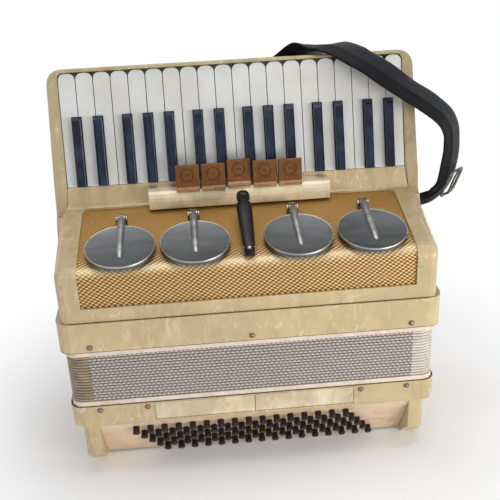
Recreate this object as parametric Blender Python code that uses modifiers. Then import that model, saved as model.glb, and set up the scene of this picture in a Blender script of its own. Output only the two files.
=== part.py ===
# Piano accordion with 34 keys, 80 bass buttons, five register switches and four mute discs.
# It stands on its bass side: X runs along the keyboard, -Y is the front, +Z is the bellows axis.
import bpy
import bmesh
from math import cos, pi, radians, sin, tan
from mathutils import Matrix, Vector

# Row of white keys, which the length of the whole body follows
WHITE_KEYS = 20
KEY_PITCH = 0.0200
KEYS_HALF = WHITE_KEYS * KEY_PITCH / 2

# Body
CHEEK_WIDTH = 0.0150         # keyboard frame beside the last key
COVER_INSET = 0.0060         # ends of the grille cover inside those of the case
FRAME_INSET = 0.0040         # ends of the bellows frames inside those of the case
BASS_INSET = 0.0030          # ends of the bass case inside those of the treble case
CASE_HALF = KEYS_HALF + CHEEK_WIDTH
COVER_HALF = CASE_HALF - COVER_INSET
FRAME_HALF = CASE_HALF - FRAME_INSET
BASS_HALF = CASE_HALF - BASS_INSET
BODY_DEPTH = 0.192           # front to back
CORNER_RADIUS = 0.014        # upright corners of the cases
CASE_WALL = 0.010
GAP = 0.0003                 # between neighbouring pieces
SPARE = 0.0100               # cutting shapes stand this far out of what they cut
OVERLAP = 0.0010             # shapes joined into one solid run this far into each other
LEAST_RADIUS = 0.0020        # of inner corners

# Heights of the stack, from the floor up
BASS_HEIGHT = 0.099
FRAME_HEIGHT = 0.0060
BELLOWS_HEIGHT = 0.0600      # closed
BAND_HEIGHT = 0.0362         # belt of the treble case
SOUND_BOARD = 0.0060         # closes the belt under the pallets
CASE_SHOULDER = 0.0620       # front of the case behind the grille, from the front of the belt

# Bellows
FOLDS = 16
FOLD_DEPTH = 0.020
FOLD_INSET = 0.0020          # ridges behind the frames' faces
FOLD_PLAY = 0.0030           # rings in the grooves, off the wall's own thickness
RIDGE_SHARE = 0.72           # of each fold's pitch
FRAME_FACE = 0.0012          # frames behind the cases' faces
FRAME_WIDTH = 0.0113

# Bass side
FOLD_HEIGHT = 0.072          # where the front turns back into the button board
LEG_INSET = 0.0100           # legs inside the ends of the bass case
LEG_WIDTH = 0.0200
LEG_FACE = 0.0012
LEG_ROUND = 0.0080           # lower outer corners
LEG_OUTER = BASS_HALF - LEG_INSET
LEG_INNER = LEG_OUTER - LEG_WIDTH
TOE_START = 0.0340           # height where the front of a leg sweeps back
TOE_SWEEP = 0.0300
TOE_DROP = 0.0060
BASS_CAVITY = 0.0165         # open top of the bass case inside its faces
BASS_CAVITY_DROP = 0.0080    # below the fold of the front
BOARD_LENGTH = 0.081
BOARD_THICKNESS = 0.0040
BOARD_SLOPE = radians(59)    # below the horizontal
BUTTON_PITCH = 0.0165
BUTTON_ROW_PITCH = 0.01405
BUTTON_COLUMNS = 16
BUTTON_ROWS = 5
BUTTON_FIRST_ROW = 0.0125    # from the fold to the first row
BUTTON_RADIUS = 0.0043
BUTTON_FOOT = 0.90           # share of the radius at the board
BUTTON_HEIGHT = 0.0087
BUTTON_SUNK = 0.0010
BAR_HALF_SPAN = 0.1157       # both bass register bars together, half length
BAR_HEIGHT = 0.0224
BAR_BASE = 0.0030            # bars above the fold
BAR_THICKNESS = 0.0050
BAR_TRAVEL = 0.0030
BAR_EDGE = 0.0006
RUNNER_DEPTH = 0.012         # recess between the two runners that it stands on

# Domed pins that hold the cases to the bellows frames
PIN_HEAD = 0.0032
PIN_DOME = 0.62              # height of a head over its radius
PIN_RISE = 0.0060            # above the lower edge of the belt
PIN_DROP = 0.0053            # below the upper edge of the bass case
PIN_INSET = 0.0350           # from the ends of the treble case
BASS_PIN_INSET = 0.0340      # from the ends of the bass case
BASS_PIN_CLEAR = 0.0080      # beside the register bars

# Keyboard
KEY_GAP = 0.0009
KEY_LENGTH = 0.1307
KEY_THICKNESS = 0.0100
KEY_END_ROUND = 0.0072
KEY_FOOT = 0.0005            # keys start this far above the cover lip
BLACK_LENGTH = 0.0805
BLACK_WIDTH = 0.0104
BLACK_RISE = 0.0090
BLACK_FACET = 0.0010         # slope of the sides and of the crown's edge
BLACK_END_SLOPE = 0.0035
BLACK_END_EDGE = 0.0055
BLACK_AFTER = (1, 2, 4, 5, 6, 8, 9, 11, 12, 13, 15, 16, 18, 19)
PAIR_SPREAD = 0.0024         # black keys of a pair, off the joint of the whites
TRIPLE_SPREAD = 0.0042       # outer black keys of a group of three
KEY_TILT = radians(16.8)     # key plane, back from the vertical
LIP_Y = 0.1327               # where the key tops meet the cover
LIP_RISE = 0.1078            # the same line above the belt
TRAY_DEPTH = 0.0165          # key tops down to the tray
TRAY_CORNER = 0.0060
RIM_RISE = 0.0015
RIM_WIDTH = 0.0044
RIM_TAPER = 0.0026           # each side of the frame draws in towards its far end
RIM_CORNER = 0.017
RIM_EDGE = 0.0025
SPLIT_DROP = 0.0070          # joint of frame and case, below the hollow over the grille
AXLE_BACK = 0.0360           # axle below the cover lip, along the key
AXLE_DEPTH = 0.0070
AXLE_RADIUS = 0.0020
AXLE_FIT = 0.0003
LEVER_WIDTH = 0.0050
LEVER_BAR = 0.0026           # half height of the hidden key lever
LEVER_LOW_BAR = 0.0056       # lever below the axle
KNEE_RISE = 0.0240
KNEE_BACK = 0.0040
ARM_ROOT = 0.0100            # the arm meets the key this far above the lip
ARM_TOP = 0.0038             # under the key's top
ARM_NECK = 0.0060            # above the axle
PALLET_LENGTH = 0.036
PALLET_THICKNESS = 0.0050
WHITE_PALLET_Y = 0.040
WHITE_PALLET_WIDTH = 0.0175
BLACK_PALLET_Y = 0.085
BLACK_PALLET_WIDTH = 0.0140

# Grille cover
COVER_WALL = 0.0025
COVER_FRONT = 0.0022         # set back behind the belt
COVER_ROUND = 0.009          # rounding over its two ends
STRIP_LENGTH = 0.0245        # strip in the key plane, below the keys
BEND_RADIUS = 0.014
HOLLOW_RADIUS = 0.006        # where the slope turns up into the strip
SEAM_RUN = 0.0300            # the seam beside the keyboard starts this far in front
SEAM_STEPS = 5
GRILLE_SLOPE = radians(10.6)
GRILLE_INSET = 0.0245        # opening inside the cover's ends
GRILLE_HALF = COVER_HALF - GRILLE_INSET
GRILLE_SILL = 0.0167         # belt top to the lower edge of the opening
GRILLE_HEAD = 0.0020         # opening's upper edge in front of the hollow
GRILLE_CORNER = 0.010
SHEET_HEAD = 0.0040          # sheet's upper edge in front of the hollow
GRILLE_WALL = 0.0012
GRILLE_LAP = 0.0060

# Register switches
SWITCHES = 5
SWITCH_PITCH = 0.0298
SWITCH_WIDTH = 0.0280
SWITCH_HEIGHT = 0.0288
SWITCH_THICKNESS = 0.0055    # half depth at its foot
SWITCH_TOP = 0.0038          # depth along its upper edge
SWITCH_LEAN = 0.0022
SWITCH_EDGE = 0.0006
SWITCH_LIP_OUT = 0.0012      # lighter lip along the foot of each switch
SWITCH_LIP_TALL = 0.0030
SWITCH_LIP_STEP = 0.0018
SWITCH_THROW = radians(14)
SWITCH_PRESSED = 2           # counted from the left, stands tipped back
SWITCH_SET_BACK = 0.0030     # faces behind the front of the block
SWITCH_CLEAR = 0.0010        # over the block
BLOCK_END = 0.0315           # beyond the row of switches
BLOCK_HALF = SWITCHES * SWITCH_PITCH / 2 + BLOCK_END
BLOCK_DEPTH = 0.0250
BLOCK_DROP = 0.0040          # top of the block below the cover lip
BLOCK_ROUND = 0.0100
BLOCK_EDGE = 0.0012
POCKET_DEPTH = 0.0200        # behind the front of the block
STEM_RADIUS = 0.0035
STEM_ROUND = 0.0034
STEM_NECK = 0.0012
STEM_INSET = 0.0030
STEM_BACK = 0.0120           # switch axis behind the front of the block
STEM_DROP = 0.0080           # switch axis below the top of the block

# Mute discs and their lever
DISC_RADIUS = 0.0386
DISC_THICKNESS = 0.0046
DISC_LIFT = 0.0059           # top of the disc above the cover's slope
DISC_ALONG = 0.0362          # from the bend, up the slope
DISC_SHARES = (-0.747, -0.302, 0.317, 0.764)     # of the opening's half length
DISC_SINK = 0.0010           # pads and fingers reach this far into the disc
PAD_RADIUS = 0.024
PAD_OFFSET = 0.0060
FINGER_TIP = 0.0215          # below the middle of the disc
FINGER_RIDGE = 0.0250        # its highest point above the middle of the disc
FINGER_HALVES = (0.0046, 0.0042, 0.0030)
FINGER_CREST_HALVES = (0.0036, 0.0020, 0.0012)
FINGER_RISES = (0.0030, 0.0036, 0.0012)
HINGE_ALONG = 0.0915
HINGE_LIFT = 0.0035
HUB_RADIUS = 0.0040
HUB_HALF = 0.0050
EAR_THICKNESS = 0.0022
EAR_ROUND = 0.0036
HINGE_PIN_RADIUS = 0.0014
HINGE_PIN_FIT = 0.0003
MUTE_LEVER_ALONG = 0.0170    # its hinge, from the bend
MUTE_LEVER_X = 0.0020
MUTE_HUB_HALF = 0.0062
MUTE_LEVER_SIDES = 10
# Stations of the lever: up the slope from its hinge, half width, underside and top above the slope
MUTE_LEVER_STATIONS = (
    (-0.0090, 0.0050, 0.0006, 0.0066),
    (0.0030, 0.0060, 0.0030, 0.0106),
    (0.0320, 0.0078, 0.0080, 0.0170),
    (0.0570, 0.0086, 0.0128, 0.0222),
    (0.0670, 0.0080, 0.0146, 0.0240),
    (0.0730, 0.0060, 0.0168, 0.0268),
    (0.0780, 0.0064, 0.0170, 0.0280),
    (0.0822, 0.0050, 0.0186, 0.0270),
)

# Straps
STRAP_THICKNESS = 0.0075
STRAP_PLUMP = 0.30           # thickness over width where the strap is narrow
STRAP_EDGE = 0.28            # rounded edge over the thickness
LUG_REACH = 0.0070
LUG_Y = 0.168
LUG_Z = 0.2540
LUG_HALF_WIDTH = 0.0090
LUG_HALF_THICKNESS = 0.0016
BUCKLE_STATION = 8
BUCKLE_HALF_WIDTH = 0.0165
BUCKLE_HALF_LENGTH = 0.0120
BUCKLE_BAR = 0.0030
BUCKLE_LIFT = 0.0010
PRONG_HALF = 0.0013
PRONG_TIP = 0.0035
HAND_STRAP_WIDTH = 0.070
HAND_STRAP_HALF = 0.160
HAND_STRAP_THICKNESS = 0.0036
HAND_STRAP_DROP = 0.0058
HAND_STRAP_END = 0.0180      # held flat against the case
HAND_STRAP_RISE = 0.0450     # length of the bend at each end
# Shoulder strap: outer face, outward direction and width, from the right lug over the rim to the left lug
STRAP_ROUTE = (
    ((0.2223, 0.1680, 0.2540), (0.10, -0.95, -0.30), 0.018),
    ((0.2270, 0.1680, 0.2540), (0.10, -0.95, -0.30), 0.018),
    ((0.2320, 0.1680, 0.2540), (0.10, -0.95, -0.30), 0.018),
    ((0.2455, 0.1650, 0.2600), (0.45, -0.80, -0.40), 0.022),
    ((0.2565, 0.1600, 0.2775), (0.68, -0.66, -0.32), 0.034),
    ((0.2625, 0.1555, 0.3035), (0.75, -0.66, -0.10), 0.041),
    ((0.2655, 0.1525, 0.3325), (0.76, -0.62, 0.15), 0.041),
    ((0.2590, 0.1460, 0.3600), (0.62, -0.60, 0.50), 0.041),
    ((0.2390, 0.1380, 0.3845), (0.50, -0.50, 0.70), 0.041),
    ((0.2040, 0.1330, 0.4100), (0.35, -0.45, 0.82), 0.041),
    ((0.1740, 0.1390, 0.4312), (0.20, -0.45, 0.87), 0.041),
    ((0.1470, 0.1470, 0.4485), (0.08, -0.30, 0.95), 0.041),
    ((0.1260, 0.1680, 0.4572), (0.00, -0.08, 0.99), 0.041),
    ((0.1160, 0.1900, 0.4535), (-0.04, 0.40, 0.91), 0.041),
    ((0.1040, 0.2040, 0.4425), (-0.05, 0.86, 0.45), 0.041),
    ((0.0700, 0.2075, 0.4150), (0.0, 1.0, 0.10), 0.041),
    ((-0.0300, 0.2070, 0.3730), (0.0, 1.0, 0.0), 0.041),
    ((-0.1000, 0.2060, 0.3180), (0.0, 1.0, 0.0), 0.041),
    ((-0.1700, 0.2060, 0.2740), (0.0, 1.0, 0.0), 0.036),
    ((-0.2080, 0.2030, 0.2590), (-0.25, 0.95, 0.0), 0.024),
    ((-0.2235, 0.1880, 0.2540), (-1.0, 0.0, 0.0), 0.018),
    ((-0.2235, 0.1830, 0.2540), (-1.0, 0.0, 0.0), 0.018),
    ((-0.2235, 0.1773, 0.2540), (-1.0, 0.0, 0.0), 0.018),
)

# Derived places
X = Vector((1, 0, 0))
FRAME_LOW_BASE = BASS_HEIGHT + GAP
BELLOWS_BASE = FRAME_LOW_BASE + FRAME_HEIGHT + GAP
FRAME_TOP_BASE = BELLOWS_BASE + BELLOWS_HEIGHT + GAP
BAND_BASE = FRAME_TOP_BASE + FRAME_HEIGHT + GAP
BAND_TOP = BAND_BASE + BAND_HEIGHT
LIP = Vector((0, LIP_Y, BAND_TOP + LIP_RISE))
ALONG_KEY = Vector((0, sin(KEY_TILT), cos(KEY_TILT)))
OFF_KEY = Vector((0, -cos(KEY_TILT), sin(KEY_TILT)))
UP_SLOPE = Vector((0, cos(GRILLE_SLOPE), sin(GRILLE_SLOPE)))
OFF_SLOPE = Vector((0, -sin(GRILLE_SLOPE), cos(GRILLE_SLOPE)))
DOWN_BOARD = Vector((0, cos(BOARD_SLOPE), -sin(BOARD_SLOPE)))
OFF_BOARD = Vector((0, -sin(BOARD_SLOPE), -cos(BOARD_SLOPE)))
HOLLOW = LIP - STRIP_LENGTH * ALONG_KEY
BEND = Vector((0, COVER_FRONT, HOLLOW.z - (HOLLOW.y - COVER_FRONT) * tan(GRILLE_SLOPE)))
SPLIT_Z = HOLLOW.z - SPLIT_DROP
SLOPE_TO_KEYS = (pi / 2 - KEY_TILT - GRILLE_SLOPE) / 2
SHELF_Z = LIP.z - BLOCK_DROP
BLOCK_FRONT = LIP_Y - BLOCK_DEPTH
SWITCH_FACE = BLOCK_FRONT + SWITCH_SET_BACK
SWITCH_PIVOT = Vector((0, BLOCK_FRONT + STEM_BACK, SHELF_Z - STEM_DROP))
RIM_TOP = KEY_LENGTH + KEY_GAP + RIM_WIDTH
DISC_PLACES = tuple(share * GRILLE_HALF for share in DISC_SHARES)
TREBLE_PINS = (PIN_INSET - CASE_HALF, 0.0, CASE_HALF - PIN_INSET)
BASS_PIN_OUTER = BASS_HALF - BASS_PIN_INSET
BASS_PIN_INNER = BAR_HALF_SPAN + BASS_PIN_CLEAR
BASS_PINS = (-BASS_PIN_OUTER, -BASS_PIN_INNER, BASS_PIN_INNER, BASS_PIN_OUTER)


def on_key(along, off, x=0.0):
    """Point in the keyboard's own directions, from the cover lip."""
    return Vector((x, 0, 0)) + LIP + along * ALONG_KEY + off * OFF_KEY


def on_slope(along, off, x=0.0):
    """Point on the grille slope, from the sharp corner of its bend."""
    return Vector((x, 0, 0)) + BEND + along * UP_SLOPE + off * OFF_SLOPE


def on_board(along, off, x=0.0):
    """Point on the bass button board, from the fold of the front."""
    return Vector((x, 0, FOLD_HEIGHT)) + along * DOWN_BOARD + off * OFF_BOARD


def slope_reach(y):
    """Distance from the bend, up the slope, to a place behind the front."""
    return (y - COVER_FRONT) / cos(GRILLE_SLOPE)


def flat(points):
    return [(point.y, point.z) for point in points]


AXLE = on_key(-AXLE_BACK, -AXLE_DEPTH)

for leftover in list(bpy.data.objects):
    bpy.data.objects.remove(leftover, do_unlink=True)
parts = bpy.data.collections.new("accordion")
bpy.context.scene.collection.children.link(parts)
origin = bpy.data.objects.new("accordion_origin", None)
parts.objects.link(origin)


def material(name, colour, roughness, metallic=0.0):
    made = bpy.data.materials.new(name)
    made.use_nodes = True
    shader = made.node_tree.nodes["Principled BSDF"]
    shader.inputs["Base Color"].default_value = (*colour, 1.0)
    shader.inputs["Roughness"].default_value = roughness
    shader.inputs["Metallic"].default_value = metallic
    return made


pearl = material("pearl_celluloid", (0.56, 0.44, 0.25), 0.22)
key_white = material("key_white", (0.72, 0.70, 0.62), 0.25)
key_black = material("key_black", (0.010, 0.010, 0.016), 0.22)
gold_cloth = material("gold_grille", (0.55, 0.32, 0.10), 0.35, 1.0)
switch_brown = material("switch_brown", (0.20, 0.078, 0.030), 0.35)
steel = material("chrome_steel", (0.55, 0.56, 0.58), 0.18, 1.0)
black_gloss = material("lever_black", (0.012, 0.011, 0.010), 0.20)
bellows_cloth = material("bellows_cloth", (0.42, 0.37, 0.33), 0.75)
frame_wood = material("bellows_frame_wood", (0.80, 0.68, 0.56), 0.50)
board_pearl = material("button_board", (0.62, 0.45, 0.30), 0.35)
leather = material("strap_leather", (0.012, 0.012, 0.014), 0.50)


def place(name, mesh, matrix=None):
    made = bpy.data.objects.new(name, mesh)
    parts.objects.link(made)
    if matrix is not None:
        made.matrix_world = matrix
    return made


def bake(obj):
    """Replace an object's data by the mesh that its modifiers give."""
    bpy.context.view_layer.update()
    seen = obj.evaluated_get(bpy.context.evaluated_depsgraph_get())
    mesh = bpy.data.meshes.new_from_object(seen)
    if obj.type == "CURVE":
        work = bmesh.new()
        work.from_mesh(mesh)
        bmesh.ops.remove_doubles(work, verts=work.verts, dist=1e-6)
        work.to_mesh(mesh)
        work.free()
    mesh.transform(obj.matrix_world)
    name = obj.name
    bpy.data.objects.remove(obj, do_unlink=True)
    return place(name, mesh)


def axes(x_axis, y_axis, z_axis, centre=(0, 0, 0)):
    turn = Matrix((x_axis, y_axis, z_axis)).transposed().to_4x4()
    return Matrix.Translation(centre) @ turn


def extrude(name, outline, low, high, matrix):
    """A flat outline drawn on a plane and thickened from low to high along its normal."""
    curve = bpy.data.curves.new(name, "CURVE")
    curve.dimensions = "2D"
    curve.fill_mode = "BOTH"
    curve.extrude = (high - low) / 2
    line = curve.splines.new("POLY")
    line.points.add(len(outline) - 1)
    for point, (across, up) in zip(line.points, outline):
        point.co = (across, up, 0, 1)
    line.use_cyclic_u = True
    shift = Matrix.Translation((0, 0, (high + low) / 2))
    return bake(place(name, curve, matrix @ shift))


def across_x(name, outline, low, high):
    """An outline of (y, z) points, thickened along X."""
    return extrude(name, outline, low, high, axes((0, 1, 0), (0, 0, 1), (1, 0, 0)))


def up_z(name, outline, low, high):
    """An outline of (x, y) points, thickened along Z."""
    return extrude(name, outline, low, high, Matrix.Identity(4))


def off_keys(name, outline, low, high):
    """An outline of (x, along key) points, thickened off the key plane."""
    return extrude(name, outline, low, high, axes(X, ALONG_KEY, OFF_KEY, LIP))


def fillet(outline, radii, steps=3):
    """Round the corners of a closed outline, each by its own radius."""
    rounded = []
    count = len(outline)
    for index, radius in enumerate(radii):
        corner = Vector(outline[index])
        before = (Vector(outline[index - 1]) - corner).normalized()
        after = (Vector(outline[(index + 1) % count]) - corner).normalized()
        if radius <= 0:
            rounded.append(tuple(corner))
            continue
        half = before.angle(after) / 2
        middle = corner + (before + after).normalized() * radius / sin(half)
        start = (corner + before * radius / tan(half) - middle).normalized()
        end = (corner + after * radius / tan(half) - middle).normalized()
        for step in range(steps + 1):
            rounded.append(tuple(middle + start.slerp(end, step / steps) * radius))
    return rounded


def box_outline(low_x, high_x, low_y, high_y, radius=0.0, steps=3):
    corners = [(low_x, low_y), (high_x, low_y), (high_x, high_y), (low_x, high_y)]
    return fillet(corners, [radius] * 4, steps)


def box(name, low, high):
    return up_z(name, box_outline(low[0], high[0], low[1], high[1]), low[2], high[2])


def rod(name, start, end, radius, sides=10):
    """A round bar between two points, its flats turned to rest squarely."""
    start = Vector(start)
    end = Vector(end)
    mesh = bpy.data.meshes.new(name)
    work = bmesh.new()
    bmesh.ops.create_cone(work, cap_ends=True, segments=sides, radius1=radius, radius2=radius,
                          depth=(end - start).length)
    work.to_mesh(mesh)
    work.free()
    turn = (end - start).to_track_quat("Z", "Y").to_matrix().to_4x4()
    return place(name, mesh, Matrix.Translation((start + end) / 2) @ turn)


def combine(obj, others, operation):
    """Join, cut or intersect a solid with others, which are used up."""
    for other in others:
        change = obj.modifiers.new(operation.lower(), "BOOLEAN")
        change.operation = operation
        change.object = other
    made = bake(obj)
    for other in others:
        bpy.data.objects.remove(other, do_unlink=True)
    return made


def soften(obj, width, steps=1, limit=30):
    edge = obj.modifiers.new("rounded_edges", "BEVEL")
    edge.width = width
    edge.segments = steps
    edge.limit_method = "ANGLE"
    edge.angle_limit = radians(limit)
    return bake(obj)


def pivot(obj, centre):
    """Move the object's origin to a point and leave its shape where it is."""
    obj.data.transform(Matrix.Translation(-centre))
    obj.location = centre
    return obj


def finish(obj, look, smooth=35):
    obj.data.materials.clear()
    obj.data.materials.append(look)
    obj.data.shade_smooth()
    obj.data.set_sharp_from_angle(angle=radians(smooth))
    obj.parent = origin
    return obj


def loft(name, rings):
    """Skin a row of equal rings and close both ends."""
    mesh = bpy.data.meshes.new(name)
    work = bmesh.new()
    rows = [[work.verts.new(point) for point in ring] for ring in rings]
    for low, high in zip(rows, rows[1:]):
        for index in range(len(low)):
            after = (index + 1) % len(low)
            work.faces.new((low[index], low[after], high[after], high[index]))
    work.faces.new(reversed(rows[0]))
    work.faces.new(rows[-1])
    bmesh.ops.recalc_face_normals(work, faces=work.faces)
    work.to_mesh(mesh)
    work.free()
    return place(name, mesh)



def plan(half, inset, radius, steps=3):
    """Rounded plan of a case: (x, y) points, drawn in from its faces by an inset."""
    corner = max(radius - inset, LEAST_RADIUS)
    return box_outline(-half + inset, half - inset, inset, BODY_DEPTH - inset, corner, steps)


def bellows_pins(places, z):
    """Domed nails in the front and the back that hold a case to its bellows frame."""
    pins = []
    for x in places:
        for y in (0, BODY_DEPTH):
            head = bpy.data.meshes.new("pin")
            work = bmesh.new()
            bmesh.ops.create_uvsphere(work, u_segments=8, v_segments=6, radius=PIN_HEAD)
            work.to_mesh(head)
            work.free()
            head.transform(Matrix.Diagonal((1, PIN_DOME, 1, 1)))
            pins.append(place("pin", head, Matrix.Translation((x, y, z))))
    return pins


def legs():
    """Lower part of the bass case, with its two outer corners rounded at the floor."""
    outline = box_outline(-LEG_OUTER, LEG_OUTER, LEG_FACE, BODY_DEPTH - LEG_FACE, CORNER_RADIUS)
    block = up_z("legs", outline, 0, FOLD_HEIGHT + OVERLAP)
    front = fillet([(-LEG_OUTER, 0), (LEG_OUTER, 0), (LEG_OUTER, BASS_HEIGHT), (-LEG_OUTER, BASS_HEIGHT)],
                   [LEG_ROUND, LEG_ROUND, 0, 0], 4)
    shape = extrude("leg_shape", front, -BODY_DEPTH - SPARE, SPARE, axes((1, 0, 0), (0, 0, 1), (0, -1, 0)))
    return combine(block, [shape], "INTERSECT")


def bass_case():
    case = up_z("bass_case", plan(BASS_HALF, 0, CORNER_RADIUS), FOLD_HEIGHT, BASS_HEIGHT)
    case = combine(case, [legs()], "UNION")
    toe = on_board(BOARD_LENGTH, TOE_DROP)
    out = -BODY_DEPTH / 4
    sweep = fillet([(out, TOE_START), (LEG_FACE, TOE_START), (toe.y, -LEG_FACE), (toe.y, -SPARE),
                    (out, -SPARE)], [0, TOE_SWEEP, 0, 0, 0], 5)
    case = combine(case, [across_x("toe_sweep", sweep, -CASE_HALF, CASE_HALF)], "DIFFERENCE")
    behind = Vector((0, (BOARD_THICKNESS + GAP) / sin(BOARD_SLOPE), 0))
    far = on_board(BOARD_LENGTH + 2 * SPARE, -BOARD_THICKNESS - GAP)
    recess = [(out, FOLD_HEIGHT)] + flat([on_board(0, 0), on_board(0, 0) + behind, far])
    recess.append((out, far.z))
    board_room = across_x("board_room", recess, -LEG_INNER, LEG_INNER)
    bottom = box("bottom_recess", (-LEG_INNER, 0.0, -SPARE), (LEG_INNER, BODY_DEPTH + SPARE, RUNNER_DEPTH))
    bar_low = FOLD_HEIGHT + BAR_BASE
    bars = box("bar_room", (-BAR_HALF_SPAN, -SPARE, bar_low - GAP),
               (BAR_HALF_SPAN, BAR_THICKNESS + BAR_TRAVEL + GAP, bar_low + BAR_HEIGHT + GAP))
    cavity = up_z("cavity", plan(BASS_HALF, BASS_CAVITY, CORNER_RADIUS), FOLD_HEIGHT - BASS_CAVITY_DROP,
                  BASS_HEIGHT + SPARE)
    case = combine(case, [board_room, bottom, bars, cavity], "DIFFERENCE")
    case = combine(case, bellows_pins(BASS_PINS, BASS_HEIGHT - PIN_DROP), "UNION")
    return finish(case, pearl)


def bass_buttons():
    """Five slanted rows of buttons, standing out of their board."""
    mesh = bpy.data.meshes.new("buttons")
    work = bmesh.new()
    slant = BUTTON_PITCH / 2
    first = -((BUTTON_COLUMNS - 1) * BUTTON_PITCH + (BUTTON_ROWS - 1) * slant) / 2
    turn = axes(X, DOWN_BOARD, -OFF_BOARD)
    for row in range(BUTTON_ROWS):
        for column in range(BUTTON_COLUMNS):
            centre = on_board(BUTTON_FIRST_ROW + row * BUTTON_ROW_PITCH, (BUTTON_HEIGHT - BUTTON_SUNK) / 2,
                              first + column * BUTTON_PITCH + row * slant)
            bmesh.ops.create_cone(work, cap_ends=True, segments=8, radius1=BUTTON_RADIUS * BUTTON_FOOT,
                                  radius2=BUTTON_RADIUS, depth=BUTTON_HEIGHT + BUTTON_SUNK,
                                  matrix=Matrix.Translation(centre) @ turn)
    work.to_mesh(mesh)
    work.free()
    return place("buttons", mesh)


def bass_button_board():
    top = on_board(0, 0) - Vector((0, 0, GAP))
    inner = Vector((0, BOARD_THICKNESS / sin(BOARD_SLOPE), 0))
    step = Vector((0, GAP / tan(BOARD_SLOPE), 0))
    back_foot = on_board(BOARD_LENGTH - BOARD_THICKNESS / tan(BOARD_SLOPE), -BOARD_THICKNESS)
    outline = flat([top + step, top + inner, back_foot, on_board(BOARD_LENGTH, 0)])
    board = across_x("bass_button_board", outline, -LEG_INNER + GAP, LEG_INNER - GAP)
    board = combine(board, [bass_buttons()], "UNION")
    return finish(board, board_pearl)


def bass_register_bars():
    base = FOLD_HEIGHT + BAR_BASE
    for name, side in (("bass_register_bar_left", -1), ("bass_register_bar_right", 1)):
        ends = sorted((side * GAP, side * (BAR_HALF_SPAN - GAP)))
        bar = box(name, (ends[0], 0.0, base), (ends[1], BAR_THICKNESS, base + BAR_HEIGHT))
        bar = soften(bar, BAR_EDGE)
        centre = Vector(((ends[0] + ends[1]) / 2, BAR_THICKNESS / 2, base + BAR_HEIGHT / 2))
        finish(pivot(bar, centre), pearl)


def hand_strap():
    """Leather strap under the bass side: flat at both ends and bowed away from the case between them."""
    low = RUNNER_DEPTH - GAP - HAND_STRAP_THICKNESS
    steps = 14
    stations = []
    for step in range(steps + 1):
        x = HAND_STRAP_HALF * (2 * step / steps - 1)
        share = min(1.0, max(0.0, (HAND_STRAP_HALF - abs(x) - HAND_STRAP_END) / HAND_STRAP_RISE))
        stations.append((x, low - HAND_STRAP_DROP * share * share * (3 - 2 * share)))
    upper = [(x, z + HAND_STRAP_THICKNESS) for x, z in reversed(stations)]
    middle = (on_board(BOARD_LENGTH + 2 * SPARE, 0).y + BODY_DEPTH - CORNER_RADIUS) / 2
    strap = extrude("bass_hand_strap", stations + upper, -middle - HAND_STRAP_WIDTH / 2,
                    HAND_STRAP_WIDTH / 2 - middle, axes((1, 0, 0), (0, 0, 1), (0, -1, 0)))
    return finish(strap, leather)


def bellows_frame(name, base):
    ring = up_z(name, plan(FRAME_HALF, FRAME_FACE, CORNER_RADIUS), base, base + FRAME_HEIGHT)
    room = up_z("room", plan(FRAME_HALF, FRAME_FACE + FRAME_WIDTH, CORNER_RADIUS), base - SPARE,
                base + FRAME_HEIGHT + SPARE)
    return finish(combine(ring, [room], "DIFFERENCE"), frame_wood)


def bellows_ring(inset, z):
    edge = plan(FRAME_HALF, FOLD_INSET + inset, CORNER_RADIUS + 2 * FOLD_INSET, 2)
    return [(x, y, z) for x, y in edge]


def bellows():
    """Zigzag wall: outer ridges, deep grooves between them, and the same seen from inside."""
    pitch = BELLOWS_HEIGHT / FOLDS
    groove = (1 - RIDGE_SHARE) / 2
    rings = []
    for fold in range(FOLDS):
        base = BELLOWS_BASE + fold * pitch
        if fold:
            rings.append(bellows_ring(FOLD_DEPTH - FOLD_PLAY, base))
        low = 0.0 if fold == 0 else groove
        high = 1.0 if fold == FOLDS - 1 else 1 - groove
        rings.append(bellows_ring(0, base + low * pitch))
        rings.append(bellows_ring(0, base + high * pitch))
    rings.append(bellows_ring(FOLD_DEPTH, BELLOWS_BASE + BELLOWS_HEIGHT))
    for fold in reversed(range(FOLDS)):
        base = BELLOWS_BASE + fold * pitch
        rings.append(bellows_ring(FOLD_PLAY, base + pitch / 2))
        rings.append(bellows_ring(FOLD_DEPTH, base))
    mesh = bpy.data.meshes.new("bellows")
    work = bmesh.new()
    rows = [[work.verts.new(point) for point in points] for points in rings]
    for low_row, high_row in zip(rows, rows[1:] + rows[:1]):
        for index in range(len(low_row)):
            after = (index + 1) % len(low_row)
            work.faces.new((low_row[index], low_row[after], high_row[after], high_row[index]))
    bmesh.ops.recalc_face_normals(work, faces=work.faces)
    work.to_mesh(mesh)
    work.free()
    return finish(place("bellows", mesh), bellows_cloth)


def treble_ends():
    """Walls of the treble case above its belt: the back and, beside the cover, the two cheeks."""
    cheek = COVER_INSET - GAP
    walls = up_z("walls", plan(CASE_HALF, 0, CORNER_RADIUS), BAND_TOP - OVERLAP, SPLIT_Z)
    above = SPLIT_Z + SPARE
    behind = BODY_DEPTH + SPARE
    slant = [(CASE_SHOULDER, BAND_TOP - SPARE), (behind, BAND_TOP - SPARE), (behind, above),
             (HOLLOW.y - GRILLE_HEAD, above)]
    walls = combine(walls, [across_x("slant", slant, -CASE_HALF - SPARE, CASE_HALF + SPARE)], "INTERSECT")
    room = box("room", (cheek - CASE_HALF, -SPARE, BAND_TOP - SPARE),
               (CASE_HALF - cheek, BODY_DEPTH - CASE_WALL, above))
    return combine(walls, [room], "DIFFERENCE")


def strap_lug(side):
    low, high = sorted((side * (CASE_HALF - OVERLAP), side * (CASE_HALF + LUG_REACH)))
    return box("lug", (low, LUG_Y - LUG_HALF_WIDTH, LUG_Z - LUG_HALF_THICKNESS),
               (high, LUG_Y + LUG_HALF_WIDTH, LUG_Z + LUG_HALF_THICKNESS))


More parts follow.
